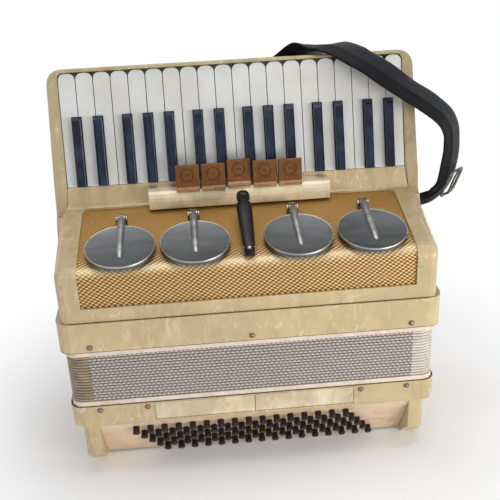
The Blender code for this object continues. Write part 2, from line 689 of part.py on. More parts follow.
def treble_case():
    case = up_z("treble_case", plan(CASE_HALF, 0, CORNER_RADIUS), BAND_BASE, BAND_TOP)
    case = combine(case, [treble_ends()], "UNION")
    room = plan(CASE_HALF, CASE_WALL, CORNER_RADIUS)
    hollow = up_z("hollow", room, BAND_BASE - SPARE, BAND_TOP - SOUND_BOARD)
    case = combine(case, [hollow], "DIFFERENCE")
    pins = bellows_pins(TREBLE_PINS, BAND_BASE + PIN_RISE)
    case = combine(case, pins + [strap_lug(-1), strap_lug(1)], "UNION")
    return finish(case, pearl)


def seam(side, clearance):
    """Plan line where the cover's end meets the keyboard frame."""
    start_y = HOLLOW.y - SEAM_RUN
    inner = KEYS_HALF - KEY_FOOT
    line = []
    for step in range(SEAM_STEPS + 1):
        share = step / SEAM_STEPS
        y = start_y + (LIP_Y + KEY_FOOT - start_y) * share
        x = COVER_HALF - (COVER_HALF - inner) * share * share
        line.append((side * (x + clearance), y))
    return line


def cover_profile(inset):
    """Front face, bend, slope, hollow and strip of the cover as (y, z) points."""
    bend_z = BEND.z - inset * (1 - sin(GRILLE_SLOPE)) / cos(GRILLE_SLOPE)
    hollow = on_key(inset * tan(SLOPE_TO_KEYS) - STRIP_LENGTH, -inset)
    tip = on_key(0, -inset)
    front = COVER_FRONT + inset
    corners = [(front, BAND_TOP + GAP), (front, bend_z), (hollow.y, hollow.z), (tip.y, tip.z)]
    return fillet(corners, [0, BEND_RADIUS - inset, HOLLOW_RADIUS + inset, 0], 4)


def cover_skin():
    """Outer skin of the cover, from one rounded end to the other."""
    mesh = bpy.data.meshes.new("treble_cover")
    work = bmesh.new()
    turns = [0, 30, 60, 90]
    columns = []
    for side, order in ((-1, reversed(turns)), (1, turns)):
        for turn in order:
            inset = COVER_ROUND * (1 - cos(radians(turn)))
            x = side * (COVER_HALF - COVER_ROUND * (1 - sin(radians(turn))))
            columns.append([work.verts.new((x, y, z)) for y, z in cover_profile(inset)])
    for left, right in zip(columns, columns[1:]):
        for low in range(len(left) - 1):
            work.faces.new((left[low], right[low], right[low + 1], left[low + 1]))
    for column, turned in ((columns[0], False), (columns[-1], True)):
        corner = work.verts.new((column[0].co.x, column[-1].co.y, column[0].co.z))
        face = column + [corner]
        work.faces.new(reversed(face) if turned else face)
    bmesh.ops.recalc_face_normals(work, faces=work.faces)
    work.to_mesh(mesh)
    work.free()
    return place("treble_cover", mesh)


def grille_opening():
    """Cutting shapes of the opening: straight down the front, rounded at the top of the slope."""
    low = BAND_TOP + GAP + GRILLE_SILL
    high = HOLLOW.z + SPARE
    front = across_x("front_opening", [(-SPARE, low), (2 * SPARE, low), (2 * SPARE, high), (-SPARE, high)],
                     -GRILLE_HALF, GRILLE_HALF)
    top = HOLLOW.y - GRILLE_HEAD
    outline = fillet([(-GRILLE_HALF, -SPARE), (GRILLE_HALF, -SPARE), (GRILLE_HALF, top), (-GRILLE_HALF, top)],
                     [0, 0, GRILLE_CORNER, GRILLE_CORNER], 4)
    return [front, up_z("slope_opening", outline, BEND.z - SPARE, high)]


def treble_cover():
    cover = cover_skin()
    shell = cover.modifiers.new("wall", "SOLIDIFY")
    shell.thickness = COVER_WALL
    shell.offset = -1
    shell.use_even_offset = True
    cover = bake(cover)
    cutters = grille_opening()
    beyond = LIP_Y + 2 * SPARE
    outside = CASE_HALF + SPARE
    for side in (-1, 1):
        line = seam(side, 0)
        outline = line + [(side * (KEYS_HALF - KEY_FOOT), beyond), (side * outside, beyond)]
        outline.append((side * outside, line[0][1]))
        cutters.append(up_z("seam_cut", outline, BAND_TOP - SPARE, LIP.z + SPARE))
    return finish(combine(cover, cutters, "DIFFERENCE"), pearl)


def bracket(x, along, half):
    """Two ears on the grille with a pin between them."""
    base = -COVER_WALL - GAP - GRILLE_WALL / 2
    top = HINGE_LIFT + HUB_RADIUS
    shape = fillet(flat([on_slope(along - HUB_RADIUS, base), on_slope(along + HUB_RADIUS, base),
                         on_slope(along + HUB_RADIUS, top), on_slope(along - HUB_RADIUS, top)]),
                   [0, 0, EAR_ROUND, EAR_ROUND], 3)
    pieces = []
    for side in (-1, 1):
        low, high = sorted((side * (half + GAP), side * (half + GAP + EAR_THICKNESS)))
        pieces.append(across_x("ear", shape, x + low, x + high))
    reach = X * (half + GAP + EAR_THICKNESS / 2)
    hinge = on_slope(along, HINGE_LIFT, x)
    pieces.append(rod("hinge_pin", hinge - reach, hinge + reach, HINGE_PIN_RADIUS, 8))
    return pieces


def grille_sheet():
    """Stiff sheet behind the opening, with the brackets of the discs and of their lever."""
    front = COVER_WALL + GAP
    back = front + GRILLE_WALL
    reach = slope_reach(HOLLOW.y - SHEET_HEAD)
    foot = BAND_TOP + GAP + GRILLE_SILL - GRILLE_LAP
    line = []
    for inset in (front, back):
        bend_z = BEND.z - inset * (1 - sin(GRILLE_SLOPE)) / cos(GRILLE_SLOPE)
        head = on_slope(reach, -inset)
        line.append([(COVER_FRONT + inset, foot), (COVER_FRONT + inset, bend_z), (head.y, head.z)])
    outline = fillet(line[0] + line[1][::-1], [0, BEND_RADIUS - front, 0, 0, BEND_RADIUS - back, 0], 4)
    half = GRILLE_HALF + GRILLE_LAP
    sheet = across_x("grille_sheet", outline, -half, half)
    brackets = bracket(MUTE_LEVER_X, MUTE_LEVER_ALONG, MUTE_HUB_HALF)
    for x in DISC_PLACES:
        brackets += bracket(x, HINGE_ALONG, HUB_HALF)
    return finish(combine(sheet, brackets, "UNION"), gold_cloth)


def hinge_on(obj, hinge, half):
    """Give a piece its hub, bored for the pin of its bracket."""
    hub = rod("hub", hinge - X * half, hinge + X * half, HUB_RADIUS, 12)
    obj = combine(obj, [hub], "UNION")
    bore = rod("bore", hinge - X * 2 * half, hinge + X * 2 * half, HINGE_PIN_RADIUS + HINGE_PIN_FIT, 8)
    return combine(obj, [bore], "DIFFERENCE")


def disc_finger(x):
    """Tapering rib from the hinge over the disc, highest above its upper half."""
    low = DISC_LIFT - DISC_THICKNESS + DISC_SINK
    tops = (HINGE_LIFT, DISC_LIFT, DISC_LIFT)
    rings = []
    for index, along in enumerate((HINGE_ALONG, DISC_ALONG + FINGER_RIDGE, DISC_ALONG - FINGER_TIP)):
        half = FINGER_HALVES[index]
        crest = FINGER_CREST_HALVES[index]
        top = tops[index] + FINGER_RISES[index]
        rings.append([on_slope(along, low, x - half), on_slope(along, low, x + half),
                      on_slope(along, top, x + crest), on_slope(along, top, x - crest)])
    return loft("finger", rings)


def mute_disc(name, x):
    low = DISC_LIFT - DISC_THICKNESS
    disc = rod(name, on_slope(DISC_ALONG, low, x), on_slope(DISC_ALONG, DISC_LIFT, x), DISC_RADIUS, 28)
    middle = DISC_ALONG + PAD_OFFSET
    pad = rod("pad", on_slope(middle, -COVER_WALL, x), on_slope(middle, low + DISC_SINK, x), PAD_RADIUS, 16)
    disc = combine(disc, [pad, disc_finger(x)], "UNION")
    hinge = on_slope(HINGE_ALONG, HINGE_LIFT, x)
    return finish(pivot(hinge_on(disc, hinge, HUB_HALF), hinge), steel)


def mute_lever():
    hinge = on_slope(MUTE_LEVER_ALONG, HINGE_LIFT, MUTE_LEVER_X)
    rings = []
    for along, half, low, high in MUTE_LEVER_STATIONS:
        ring = []
        for spoke in range(MUTE_LEVER_SIDES):
            turn = 2 * pi * spoke / MUTE_LEVER_SIDES
            rise = (low + high) / 2 + (high - low) / 2 * sin(turn)
            ring.append(on_slope(MUTE_LEVER_ALONG + along, rise, MUTE_LEVER_X + half * cos(turn)))
        rings.append(ring)
    lever = hinge_on(loft("mute_lever", rings), hinge, MUTE_HUB_HALF)
    return finish(pivot(lever, hinge), black_gloss)


def switch_block():
    rest = on_slope(slope_reach(SWITCH_FACE), GAP)
    before = on_slope(slope_reach(HOLLOW.y - SHEET_HEAD), GAP)
    corner = on_key(SHEET_HEAD * tan(SLOPE_TO_KEYS) - STRIP_LENGTH, GAP)
    top = on_key(-BLOCK_DROP / cos(KEY_TILT), GAP)
    outline = fillet([(rest.y, rest.z), (before.y, before.z), (corner.y, corner.z), (top.y, SHELF_Z),
                      (BLOCK_FRONT, SHELF_Z)], [BLOCK_EDGE, 0, 0, 0, BLOCK_ROUND], 4)
    block = across_x("switch_block", outline, -BLOCK_HALF, BLOCK_HALF)
    block = soften(block, BLOCK_EDGE, 1, 60)
    half = ((SWITCHES - 1) * SWITCH_PITCH + SWITCH_WIDTH) / 2 - STEM_INSET + GAP
    floor = SWITCH_PIVOT.z - STEM_RADIUS - GAP
    pocket = box("pocket", (-half, SWITCH_PIVOT.y - STEM_RADIUS - GAP, floor),
                 (half, BLOCK_FRONT + POCKET_DEPTH, SHELF_Z + SPARE))
    return finish(combine(block, [pocket], "DIFFERENCE"), pearl)


def register_switch(index):
    """Brown tab with a lighter lip at its foot, on a stem that rocks in the block's pocket."""
    x = (index - (SWITCHES - 1) / 2) * SWITCH_PITCH
    half = SWITCH_WIDTH / 2
    base = SHELF_Z + SWITCH_CLEAR
    lip_top = base + SWITCH_LIP_TALL
    top = base + SWITCH_HEIGHT
    back = SWITCH_FACE + 2 * SWITCH_THICKNESS
    face = [(SWITCH_FACE - SWITCH_LIP_OUT, base), (SWITCH_FACE - SWITCH_LIP_OUT, lip_top),
            (SWITCH_FACE, lip_top + SWITCH_LIP_STEP), (SWITCH_FACE + SWITCH_LEAN, top),
            (SWITCH_FACE + SWITCH_LEAN + SWITCH_TOP, top), (back - SWITCH_LIP_OUT, lip_top), (back, base)]
    tab = across_x("register_switch_%d" % (index + 1), face, x - half, x + half)
    tab = soften(tab, SWITCH_EDGE, 1, 50)
    neck_z = base + SWITCH_LIP_STEP
    root_y = SWITCH_PIVOT.y
    root_z = SWITCH_PIVOT.z
    stem = fillet([(root_y - STEM_NECK, neck_z), (root_y - STEM_RADIUS, root_z + SWITCH_CLEAR),
                   (root_y - STEM_RADIUS, root_z - STEM_RADIUS), (root_y + STEM_RADIUS, root_z - STEM_RADIUS),
                   (root_y + STEM_RADIUS, root_z + SWITCH_CLEAR), (root_y + STEM_NECK, neck_z)],
                  [0, 0, STEM_ROUND, STEM_ROUND, 0, 0], 3)
    foot = across_x("stem", stem, x - half + STEM_INSET, x + half - STEM_INSET)
    tab = pivot(combine(tab, [foot], "UNION"), SWITCH_PIVOT + X * x)
    if index == SWITCH_PRESSED:
        tab.data.transform(Matrix.Rotation(-SWITCH_THROW, 4, "X"))
    return finish(tab, switch_brown)


def frame_side():
    """Side view of the keyboard frame: upright back, sloping front in the plane of its rim."""
    front_low = on_key(-STRIP_LENGTH, RIM_RISE)
    front_top = on_key(RIM_TOP, RIM_RISE)
    depth = (BODY_DEPTH - front_top.y) / cos(KEY_TILT)
    back_top = on_key(RIM_TOP, 2 * RIM_RISE - depth)
    low = SPLIT_Z + GAP
    return fillet([(HOLLOW.y - HOLLOW_RADIUS, low), (BODY_DEPTH, low), (BODY_DEPTH, back_top.z),
                   (back_top.y, back_top.z), (front_top.y, front_top.z), (front_low.y, front_low.z)],
                  [0, 0, RIM_EDGE, 0, RIM_EDGE, 2 * HOLLOW_RADIUS], 2)


def keyboard_frame():
    frame = across_x("keyboard_frame", frame_side(), -CASE_HALF, CASE_HALF)
    low = -LIP_Y
    beyond = CASE_HALF + SPARE
    far = CASE_HALF - RIM_TAPER
    rim = fillet([(-beyond, low), (beyond, low), (CASE_HALF, 0), (far, RIM_TOP), (-far, RIM_TOP), (-CASE_HALF, 0)],
                 [0, 0, 0, RIM_CORNER, RIM_CORNER, 0], 4)
    sheet = off_keys("rim", rim, -BODY_DEPTH, 2 * SPARE)
    corners = up_z("corners", plan(CASE_HALF, 0, CORNER_RADIUS), SPLIT_Z - SPARE, LIP.z + BODY_DEPTH)
    frame = combine(frame, [sheet, corners], "INTERSECT")
    frame = soften(frame, RIM_EDGE, 2, 55)
    half = KEYS_HALF + GAP
    end = KEY_LENGTH + KEY_GAP
    tray = fillet([(-half, low), (half, low), (half, end), (-half, end)], [0, 0, TRAY_CORNER, TRAY_CORNER], 3)
    front = COVER_HALF + GAP
    cover = [(-front, CASE_SHOULDER - SPARE)] + seam(-1, GAP)
    cover += [(x, y) for x, y in reversed(seam(1, GAP))] + [(front, CASE_SHOULDER - SPARE)]
    cover_room = up_z("cover_room", cover, SPLIT_Z - 2 * SPARE, LIP.z + 2 * SPARE)
    frame = combine(frame, [off_keys("tray", tray, -TRAY_DEPTH, 3 * SPARE), cover_room], "DIFFERENCE")
    return finish(frame, pearl)


def key_arm(x, pallet_y, pallet_x, pallet_width):
    """Lever behind the lip, its pallet on the sound board, and the pallet's stem."""
    seat = BAND_TOP + GAP
    low = KEY_THICKNESS - KEY_FOOT
    bar = Vector((0, LEVER_BAR, 0))
    drop = Vector((0, 0, LEVER_BAR))
    foot = Vector((0, pallet_y, seat + PALLET_THICKNESS - LEVER_BAR / 2))
    knee = Vector((0, pallet_y + KNEE_BACK, seat + KNEE_RISE))
    shoulder = AXLE - Vector((0, LEVER_LOW_BAR, LEVER_BAR / 2))
    under = AXLE - Vector((0, LEVER_BAR / 2, LEVER_LOW_BAR))
    heel = on_key(-AXLE_BACK, -AXLE_DEPTH - LEVER_LOW_BAR)
    outline = flat([on_key(ARM_ROOT, -ARM_TOP), on_key(ARM_NECK - AXLE_BACK, -ARM_TOP), shoulder, knee - bar,
                    foot - bar, foot + bar, knee + bar - drop, under, heel, on_key(ARM_ROOT, -low)])
    arm = across_x("arm", outline, x - LEVER_WIDTH / 2, x + LEVER_WIDTH / 2)
    pallet = box("pallet", (pallet_x - pallet_width / 2, pallet_y - PALLET_LENGTH / 2, seat),
                 (pallet_x + pallet_width / 2, pallet_y + PALLET_LENGTH / 2, seat + PALLET_THICKNESS))
    return [arm, pallet]


def key_on_axle(key, x, arm, look):
    """Add a key's hidden arm, bore it for the axle and move its origin there."""
    key = combine(key, arm, "UNION")
    reach = X * KEY_PITCH
    bore = rod("bore", AXLE + X * x - reach, AXLE + X * x + reach, AXLE_RADIUS + AXLE_FIT, 8)
    key = combine(key, [bore], "DIFFERENCE")
    return finish(pivot(key, AXLE + X * x), look)


def black_centre(place_index):
    """X of the black key after a given white key, off the joint where the group is."""
    joint = -KEYS_HALF + place_index * KEY_PITCH
    left = place_index - 1 in BLACK_AFTER
    right = place_index + 1 in BLACK_AFTER
    if left and right:
        return joint
    triple = (place_index + 2 in BLACK_AFTER and right) or (place_index - 2 in BLACK_AFTER and left)
    spread = TRIPLE_SPREAD if triple else PAIR_SPREAD
    return joint + (spread if left else -spread)


def white_key(index):
    left = -KEYS_HALF + index * KEY_PITCH + KEY_GAP / 2
    right = left + KEY_PITCH - KEY_GAP
    outline = fillet([(left, KEY_FOOT), (right, KEY_FOOT), (right, KEY_LENGTH), (left, KEY_LENGTH)],
                     [0, 0, KEY_END_ROUND, KEY_END_ROUND], 4)
    key = off_keys("key_white_%02d" % (index + 1), outline, -KEY_THICKNESS, 0)
    half_black = BLACK_WIDTH / 2 + KEY_GAP
    notches = []
    tail = [left, right]
    for place_index in (index, index + 1):
        if place_index in BLACK_AFTER:
            middle = black_centre(place_index)
            notch = box_outline(middle - half_black, middle + half_black, -SPARE, BLACK_LENGTH + KEY_GAP)
            notches.append(off_keys("notch", notch, -2 * KEY_THICKNESS, KEY_THICKNESS))
            tail[place_index - index] = middle + half_black * (1 if place_index == index else -1)
    key = combine(key, notches, "DIFFERENCE")
    x = (tail[0] + tail[1]) / 2
    return key_on_axle(key, x, key_arm(x, WHITE_PALLET_Y, (left + right) / 2, WHITE_PALLET_WIDTH), key_white)


def black_ring(x, half, end, off):
    return [on_key(KEY_FOOT, off, x - half), on_key(KEY_FOOT, off, x + half), on_key(end, off, x + half),
            on_key(end, off, x - half)]


def black_key(number, place_index):
    x = black_centre(place_index)
    half = BLACK_WIDTH / 2
    rings = [black_ring(x, half, BLACK_LENGTH, -KEY_THICKNESS),
             black_ring(x, half, BLACK_LENGTH, BLACK_FACET),
             black_ring(x, half - BLACK_FACET, BLACK_LENGTH - BLACK_END_SLOPE, BLACK_RISE - BLACK_FACET),
             black_ring(x, half - 2 * BLACK_FACET, BLACK_LENGTH - BLACK_END_EDGE, BLACK_RISE)]
    key = loft("key_black_%02d" % number, rings)
    return key_on_axle(key, x, key_arm(x, BLACK_PALLET_Y, x, BLACK_PALLET_WIDTH), key_black)


def key_axle():
    return finish(rod("key_axle", AXLE - X * COVER_HALF, AXLE + X * COVER_HALF, AXLE_RADIUS, 8), steel)


def smooth_route(samples):
    """Catmull-Rom curve through the route's points, with its outward directions and widths."""
    count = len(STRAP_ROUTE)
    spots = [Vector(entry[0]) for entry in STRAP_ROUTE]
    outs = [Vector(entry[1]) for entry in STRAP_ROUTE]
    widths = [entry[2] for entry in STRAP_ROUTE]
    found = []
    for index in range(count - 1):
        before = spots[max(index - 1, 0)]
        start = spots[index]
        end = spots[index + 1]
        after = spots[min(index + 2, count - 1)]
        for step in range(samples):
            t = step / samples
            spot = 0.5 * (2 * start + (end - before) * t + (2 * before - 5 * start + 4 * end - after) * t * t
                          + (3 * start - before - 3 * end + after) * t ** 3)
            found.append((spot, outs[index].lerp(outs[index + 1], t),
                          widths[index] + (widths[index + 1] - widths[index]) * t))
    found.append((spots[-1], outs[-1], widths[-1]))
    return found


def strap_frames(samples):
    """Place, direction, outward side, cross direction and width at each sample of the strap."""
    route = smooth_route(samples)
    frames = []
    for index, (spot, out, width) in enumerate(route):
        before = route[max(index - 1, 0)][0]
        after = route[min(index + 1, len(route) - 1)][0]
        ahead = (after - before).normalized()
        out = (out - ahead * out.dot(ahead)).normalized()
        frames.append((spot, ahead, out, ahead.cross(out), width))
    return frames


def shoulder_strap():
    rings = []
    for spot, ahead, out, side, width in strap_frames(2):
        thick = min(STRAP_THICKNESS, width * STRAP_PLUMP)
        half = width / 2
        edge = thick * STRAP_EDGE
        corners = ((half - edge, 0), (half, edge), (half, thick - edge), (half - edge, thick),
                   (edge - half, thick), (-half, thick - edge), (-half, edge), (edge - half, 0))
        rings.append([spot + side * across - out * depth for across, depth in corners])
    return finish(loft("shoulder_strap", rings), leather)


def strap_buckle():
    """Flat steel frame with a centre prong, lying on the strap near its lower end."""
    spot, ahead, out, side, width = strap_frames(2)[BUCKLE_STATION]
    top = BUCKLE_LIFT + BUCKLE_BAR
    outline = box_outline(-BUCKLE_HALF_WIDTH, BUCKLE_HALF_WIDTH, -BUCKLE_HALF_LENGTH, BUCKLE_HALF_LENGTH,
                          BUCKLE_BAR, 2)
    ring = up_z("strap_buckle", outline, BUCKLE_LIFT, top)
    inner_wide = BUCKLE_HALF_WIDTH - BUCKLE_BAR
    inner_long = BUCKLE_HALF_LENGTH - BUCKLE_BAR
    hole = box("hole", (-inner_wide, -inner_long, 0), (inner_wide, inner_long, top + BUCKLE_BAR))
    ring = combine(ring, [hole], "DIFFERENCE")
    prong = box("prong", (-PRONG_HALF, BUCKLE_LIFT - BUCKLE_HALF_LENGTH, top - BUCKLE_LIFT),
                (PRONG_HALF, BUCKLE_HALF_LENGTH + PRONG_TIP, top + PRONG_HALF))
    ring = combine(ring, [prong], "UNION")
    ring.data.transform(axes(side, ahead, out, spot))
    return finish(ring, steel)


bass_case()
bass_button_board()
bass_register_bars()
hand_strap()
bellows_frame("bellows_frame_bass", FRAME_LOW_BASE)
bellows()
bellows_frame("bellows_frame_treble", FRAME_TOP_BASE)
treble_case()
treble_cover()
grille_sheet()
keyboard_frame()
key_axle()
for white in range(WHITE_KEYS):
    white_key(white)
for order, after_white in enumerate(BLACK_AFTER):
    black_key(order + 1, after_white)
switch_block()
for switch in range(SWITCHES):
    register_switch(switch)
for order, disc_x in enumerate(DISC_PLACES):
    mute_disc("mute_disc_%d" % (order + 1), disc_x)
mute_lever()
shoulder_strap()
strap_buckle()

# The origin goes under the middle of the whole object, at floor level
bpy.context.view_layer.update()
points = []
for obj in parts.objects:
    if obj.type == "MESH":
        points += [obj.matrix_world @ vertex.co for vertex in obj.data.vertices]
middle_x = (min(point.x for point in points) + max(point.x for point in points)) / 2
middle_y = (min(point.y for point in points) + max(point.y for point in points)) / 2
origin.location = (-middle_x, -middle_y, 0)
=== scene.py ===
import bpy
import bmesh
from math import asin, cos, pi, radians, sin, tan
from mathutils import Matrix, Vector


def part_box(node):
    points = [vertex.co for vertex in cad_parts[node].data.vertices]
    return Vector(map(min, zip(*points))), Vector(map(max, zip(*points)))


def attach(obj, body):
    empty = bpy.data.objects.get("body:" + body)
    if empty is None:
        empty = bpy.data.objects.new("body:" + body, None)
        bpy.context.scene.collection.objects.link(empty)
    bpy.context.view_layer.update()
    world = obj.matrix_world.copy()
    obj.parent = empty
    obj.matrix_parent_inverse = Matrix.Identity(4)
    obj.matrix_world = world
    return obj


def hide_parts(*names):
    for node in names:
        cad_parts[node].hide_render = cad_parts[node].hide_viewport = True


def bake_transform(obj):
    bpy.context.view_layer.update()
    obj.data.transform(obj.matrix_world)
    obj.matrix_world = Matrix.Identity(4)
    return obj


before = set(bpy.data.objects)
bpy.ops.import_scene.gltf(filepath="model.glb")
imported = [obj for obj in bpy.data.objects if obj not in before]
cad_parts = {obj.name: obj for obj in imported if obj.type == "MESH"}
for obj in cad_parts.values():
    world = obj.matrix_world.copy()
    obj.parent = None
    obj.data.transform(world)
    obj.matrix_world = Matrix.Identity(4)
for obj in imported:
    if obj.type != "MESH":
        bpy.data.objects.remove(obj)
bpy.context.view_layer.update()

caseLow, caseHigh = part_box("treble_case")
caseDepth = 0.192
# every place below is measured from the middle of the keyboard, the front of the case and the floor
shift = Vector(((caseLow[0] + caseHigh[0]) / 2, (caseLow[1] + caseHigh[1]) / 2 - caseDepth / 2, 0))
print("frame loaded")

# the instrument's own directions: along the keys, up the grille's slope and down the button board
across = Vector((1, 0, 0))
keyTilt = radians(16.8)
slopeTilt = radians(10.6)
boardTilt = radians(59)
alongKey = Vector((0, sin(keyTilt), cos(keyTilt)))
upSlope = Vector((0, cos(slopeTilt), sin(slopeTilt)))
offSlope = Vector((0, -sin(slopeTilt), cos(slopeTilt)))
downBoard = Vector((0, cos(boardTilt), -sin(boardTilt)))
offBoard = Vector((0, -sin(boardTilt), -cos(boardTilt)))
# seen from the side: top of the belt, upper lip of the cover, its hollow and the bend of the slope,
# and the fold of the bass side where the button board starts
beltTop = 0.2084
lipAboveBelt = 0.1078
hollowBelowLip = 0.0245
lip = Vector((0, 0.1327, beltTop + lipAboveBelt))
hollow = lip - hollowBelowLip * alongKey
coverFront = 0.0022
bend = Vector((0, coverFront, hollow.z - (hollow.y - coverFront) * tan(slopeTilt)))
bassFold = Vector((0, 0, 0.072))


def onSlope(along, off, x=0.0):
    return shift + bend + along * upSlope + off * offSlope + x * across


def onBoard(along, off, x=0.0):
    return shift + bassFold + along * downBoard + off * offBoard + x * across


def toLinear(hexColour):
    parts = [int(hexColour[i:i + 2], 16) / 255 for i in (1, 3, 5)]
    return [c / 12.92 if c <= 0.04045 else ((c + 0.055) / 1.055) ** 2.4 for c in parts] + [1.0]


def addNode(tree, kind, inputs=None, **settings):
    # kind may also be a node that is there already; inputs are hex colours, numbers, nodes or sockets
    made = tree.nodes.new("ShaderNode" + kind) if isinstance(kind, str) else kind
    for name, value in settings.items():
        if name == "stops":
            while len(made.color_ramp.elements) < len(value):
                made.color_ramp.elements.new(0.5)
            for element, (position, colour) in zip(made.color_ramp.elements, value):
                element.position = position
                element.color = toLinear(colour)
        else:
            setattr(made, name, value)
    for name, value in (inputs or {}).items():
        if isinstance(value, bpy.types.Node):
            value = next(out for out in value.outputs if out.enabled)
        if isinstance(value, bpy.types.NodeSocket):
            tree.links.new(value, made.inputs[name])
        else:
            made.inputs[name].default_value = toLinear(value) if isinstance(value, str) else value
    return made


def addNoise(tree, place, perMm, detail, distortion=0.0):
    return addNode(tree, "TexNoise", {"Vector": place, "Scale": perMm, "Detail": detail,
                                      "Distortion": distortion})


def addRange(tree, value, low, high, bottom=0.0, top=1.0):
    # a value between low and high becomes one between bottom and top
    return addNode(tree, "MapRange", {"Value": value, "From Min": low, "From Max": high, "To Min": bottom,
                                      "To Max": top})


def addMix(tree, share, first, second):
    return addNode(tree, "Mix", {0: share, 6: first, 7: second}, data_type="RGBA")


def addMath(tree, operation, *values):
    return addNode(tree, "Math", dict(enumerate(values)), operation=operation)


def stretch(tree, place, factors):
    return addNode(tree, "VectorMath", {0: place, 1: factors}, operation="MULTIPLY")


def startMaterial(name):
    made = bpy.data.materials.new(name)
    made.use_nodes = True
    tree = made.node_tree
    # places on the surface come in millimetres, so that every pattern below has a real size
    place = addNode(tree, "VectorMath", {0: addNode(tree, "TexCoord").outputs["Object"], "Scale": 1000.0},
                    operation="SCALE")
    return made, tree, place, tree.nodes["Principled BSDF"]


# pearl celluloid: sheet cast with ground fish-scale essence, heat-formed over the wood and buffed.
# it gives long soft drifts of light and dark cream, a few bright folded flakes, and a wet gloss.
# painted shadow darkens the right end of some pieces, and painted shade darkens what faces up
pearlLook = {"driftMm": 64, "streakMm": 26, "flakeMm": 15, "speckMm": 2.4, "waveMm": 22, "shadeFromMm": 120.0,
             "shadeToMm": 190.0, "grey": "#B9A883", "flake": "#F5EAD0", "grime": "#8A6F45", "paintedShade": "#8C7A55"}


def makePearl(name, shade, body, light, stainAndShade=0.0):
    made, tree, place, shader = startMaterial(name)
    stretched = stretch(tree, place, (1.0, 1.0, 0.45))
    drift = addNoise(tree, place, 1 / pearlLook["driftMm"], 2.0, 0.8)
    streak = addNoise(tree, stretched, 1 / pearlLook["streakMm"], 3.0, 1.2)
    flake = addNoise(tree, stretched, 1 / pearlLook["flakeMm"], 3.0, 2.4)
    speck = addNoise(tree, place, 1 / pearlLook["speckMm"], 2.0)
    tone = addNode(tree, "ValToRGB", {"Fac": streak}, stops=((0.34, shade), (0.5, body), (0.68, light)))
    greyed = addMix(tree, addRange(tree, drift, 0.45, 0.65, top=0.6), tone, pearlLook["grey"])
    flaked = addMix(tree, addRange(tree, flake, 0.58, 0.76, top=0.5), greyed, pearlLook["flake"])
    grimy = addMix(tree, addRange(tree, speck, 0.68, 0.8, top=0.3), flaked, pearlLook["grime"])
    # darker towards the right end: painted shadow of the strap
    sideways = addNode(tree, "SeparateXYZ", {0: place}).outputs["X"]
    beside = addRange(tree, sideways, pearlLook["shadeFromMm"], pearlLook["shadeToMm"], top=stainAndShade)
    rightShaded = addMix(tree, beside, grimy, pearlLook["paintedShade"])
    # surfaces that face up are darkened towards a darker cream: painted shade
    facing = addNode(tree, "SeparateXYZ", {0: addNode(tree, "NewGeometry").outputs["Normal"]}).outputs["Z"]
    topShaded = addMix(tree, addRange(tree, facing, 0.8, 1.0, top=0.36), rightShaded, pearlLook["paintedShade"])
    gloss = addRange(tree, streak, 0.3, 0.7, 0.24, 0.36)
    wave = addNoise(tree, place, 1 / pearlLook["waveMm"], 1.0)
    bump = addNode(tree, "Bump", {"Height": wave, "Distance": 0.0004, "Strength": 0.35})
    addNode(tree, shader, {"Base Color": topShaded, "Roughness": gloss, "Normal": bump, "IOR": 1.5,
                           "Coat Weight": 0.3, "Coat Roughness": 0.08})
    return made


# white key covering: cast celluloid, polished; fine finger wear along the key shows as soft streaks
def makeKeyWhite():
    made, tree, place, shader = startMaterial("celluloidKeyWhite")
    tone = addNoise(tree, place, 1 / 45, 2.0)
    streak = addNoise(tree, stretch(tree, place, (1.0, 0.1, 0.1)), 0.7, 3.0)
    body = addMix(tree, addRange(tree, tone, 0.35, 0.65), "#D6D5CE", "#E0E1DE")
    aged = addMix(tree, addRange(tree, streak, 0.55, 0.8, top=0.35), body, "#CFCABC")
    gloss = addRange(tree, streak, 0.3, 0.7, 0.16, 0.28)
    addNode(tree, shader, {"Base Color": aged, "Roughness": gloss, "IOR": 1.5, "Coat Weight": 0.25,
                           "Coat Roughness": 0.06})
    return made


# black key: moulded nitrate plastic, buffed; a painted sheen tints its colour dark blue
def makeKeyBlack():
    made, tree, place, shader = startMaterial("mouldedKeyBlack")
    # the two dark blues of the colour below are painted sheen
    blueSheen = addNoise(tree, place, 1 / 16, 4.0)
    scuff = addNoise(tree, stretch(tree, place, (1.0, 0.15, 0.15)), 0.9, 3.0)
    body = addMix(tree, addRange(tree, blueSheen, 0.35, 0.7), "#141928", "#293451")
    gloss = addRange(tree, scuff, 0.3, 0.7, 0.1, 0.26)
    addNode(tree, shader, {"Base Color": body, "Roughness": gloss, "IOR": 1.52, "Specular IOR Level": 0.2,
                           "Coat Weight": 0.05, "Coat Roughness": 0.1})
    return made


# grille cloth: gold lacquered yarn, basket-woven over a brown ground and stretched on a metal sheet.
# yarn tops stand in staggered rows 3.2 mm apart; a painted highlight brightens them along the bend, and on
# the slope painted shade flattens them to a darker, dull brown
# of the colours below, the slope's duller brown is painted shade, and the pale band colour along the bend is
# a painted highlight
weave = {"dotMm": 3.2, "rowMm": 2.3, "lean": 0.22, "ground": "#704A1C", "yarn": "#B0823E", "top": "#EBCF98",
         "paintedShade": "#A37A36", "bendHighlight": "#F6E2B8", "bendHighlightMm": 50, "bendHighlightWideMm": 9.0, "bendHighlightFullMm": 2.0,
         "slopeStartMm": 60, "slopeEndMm": 76}


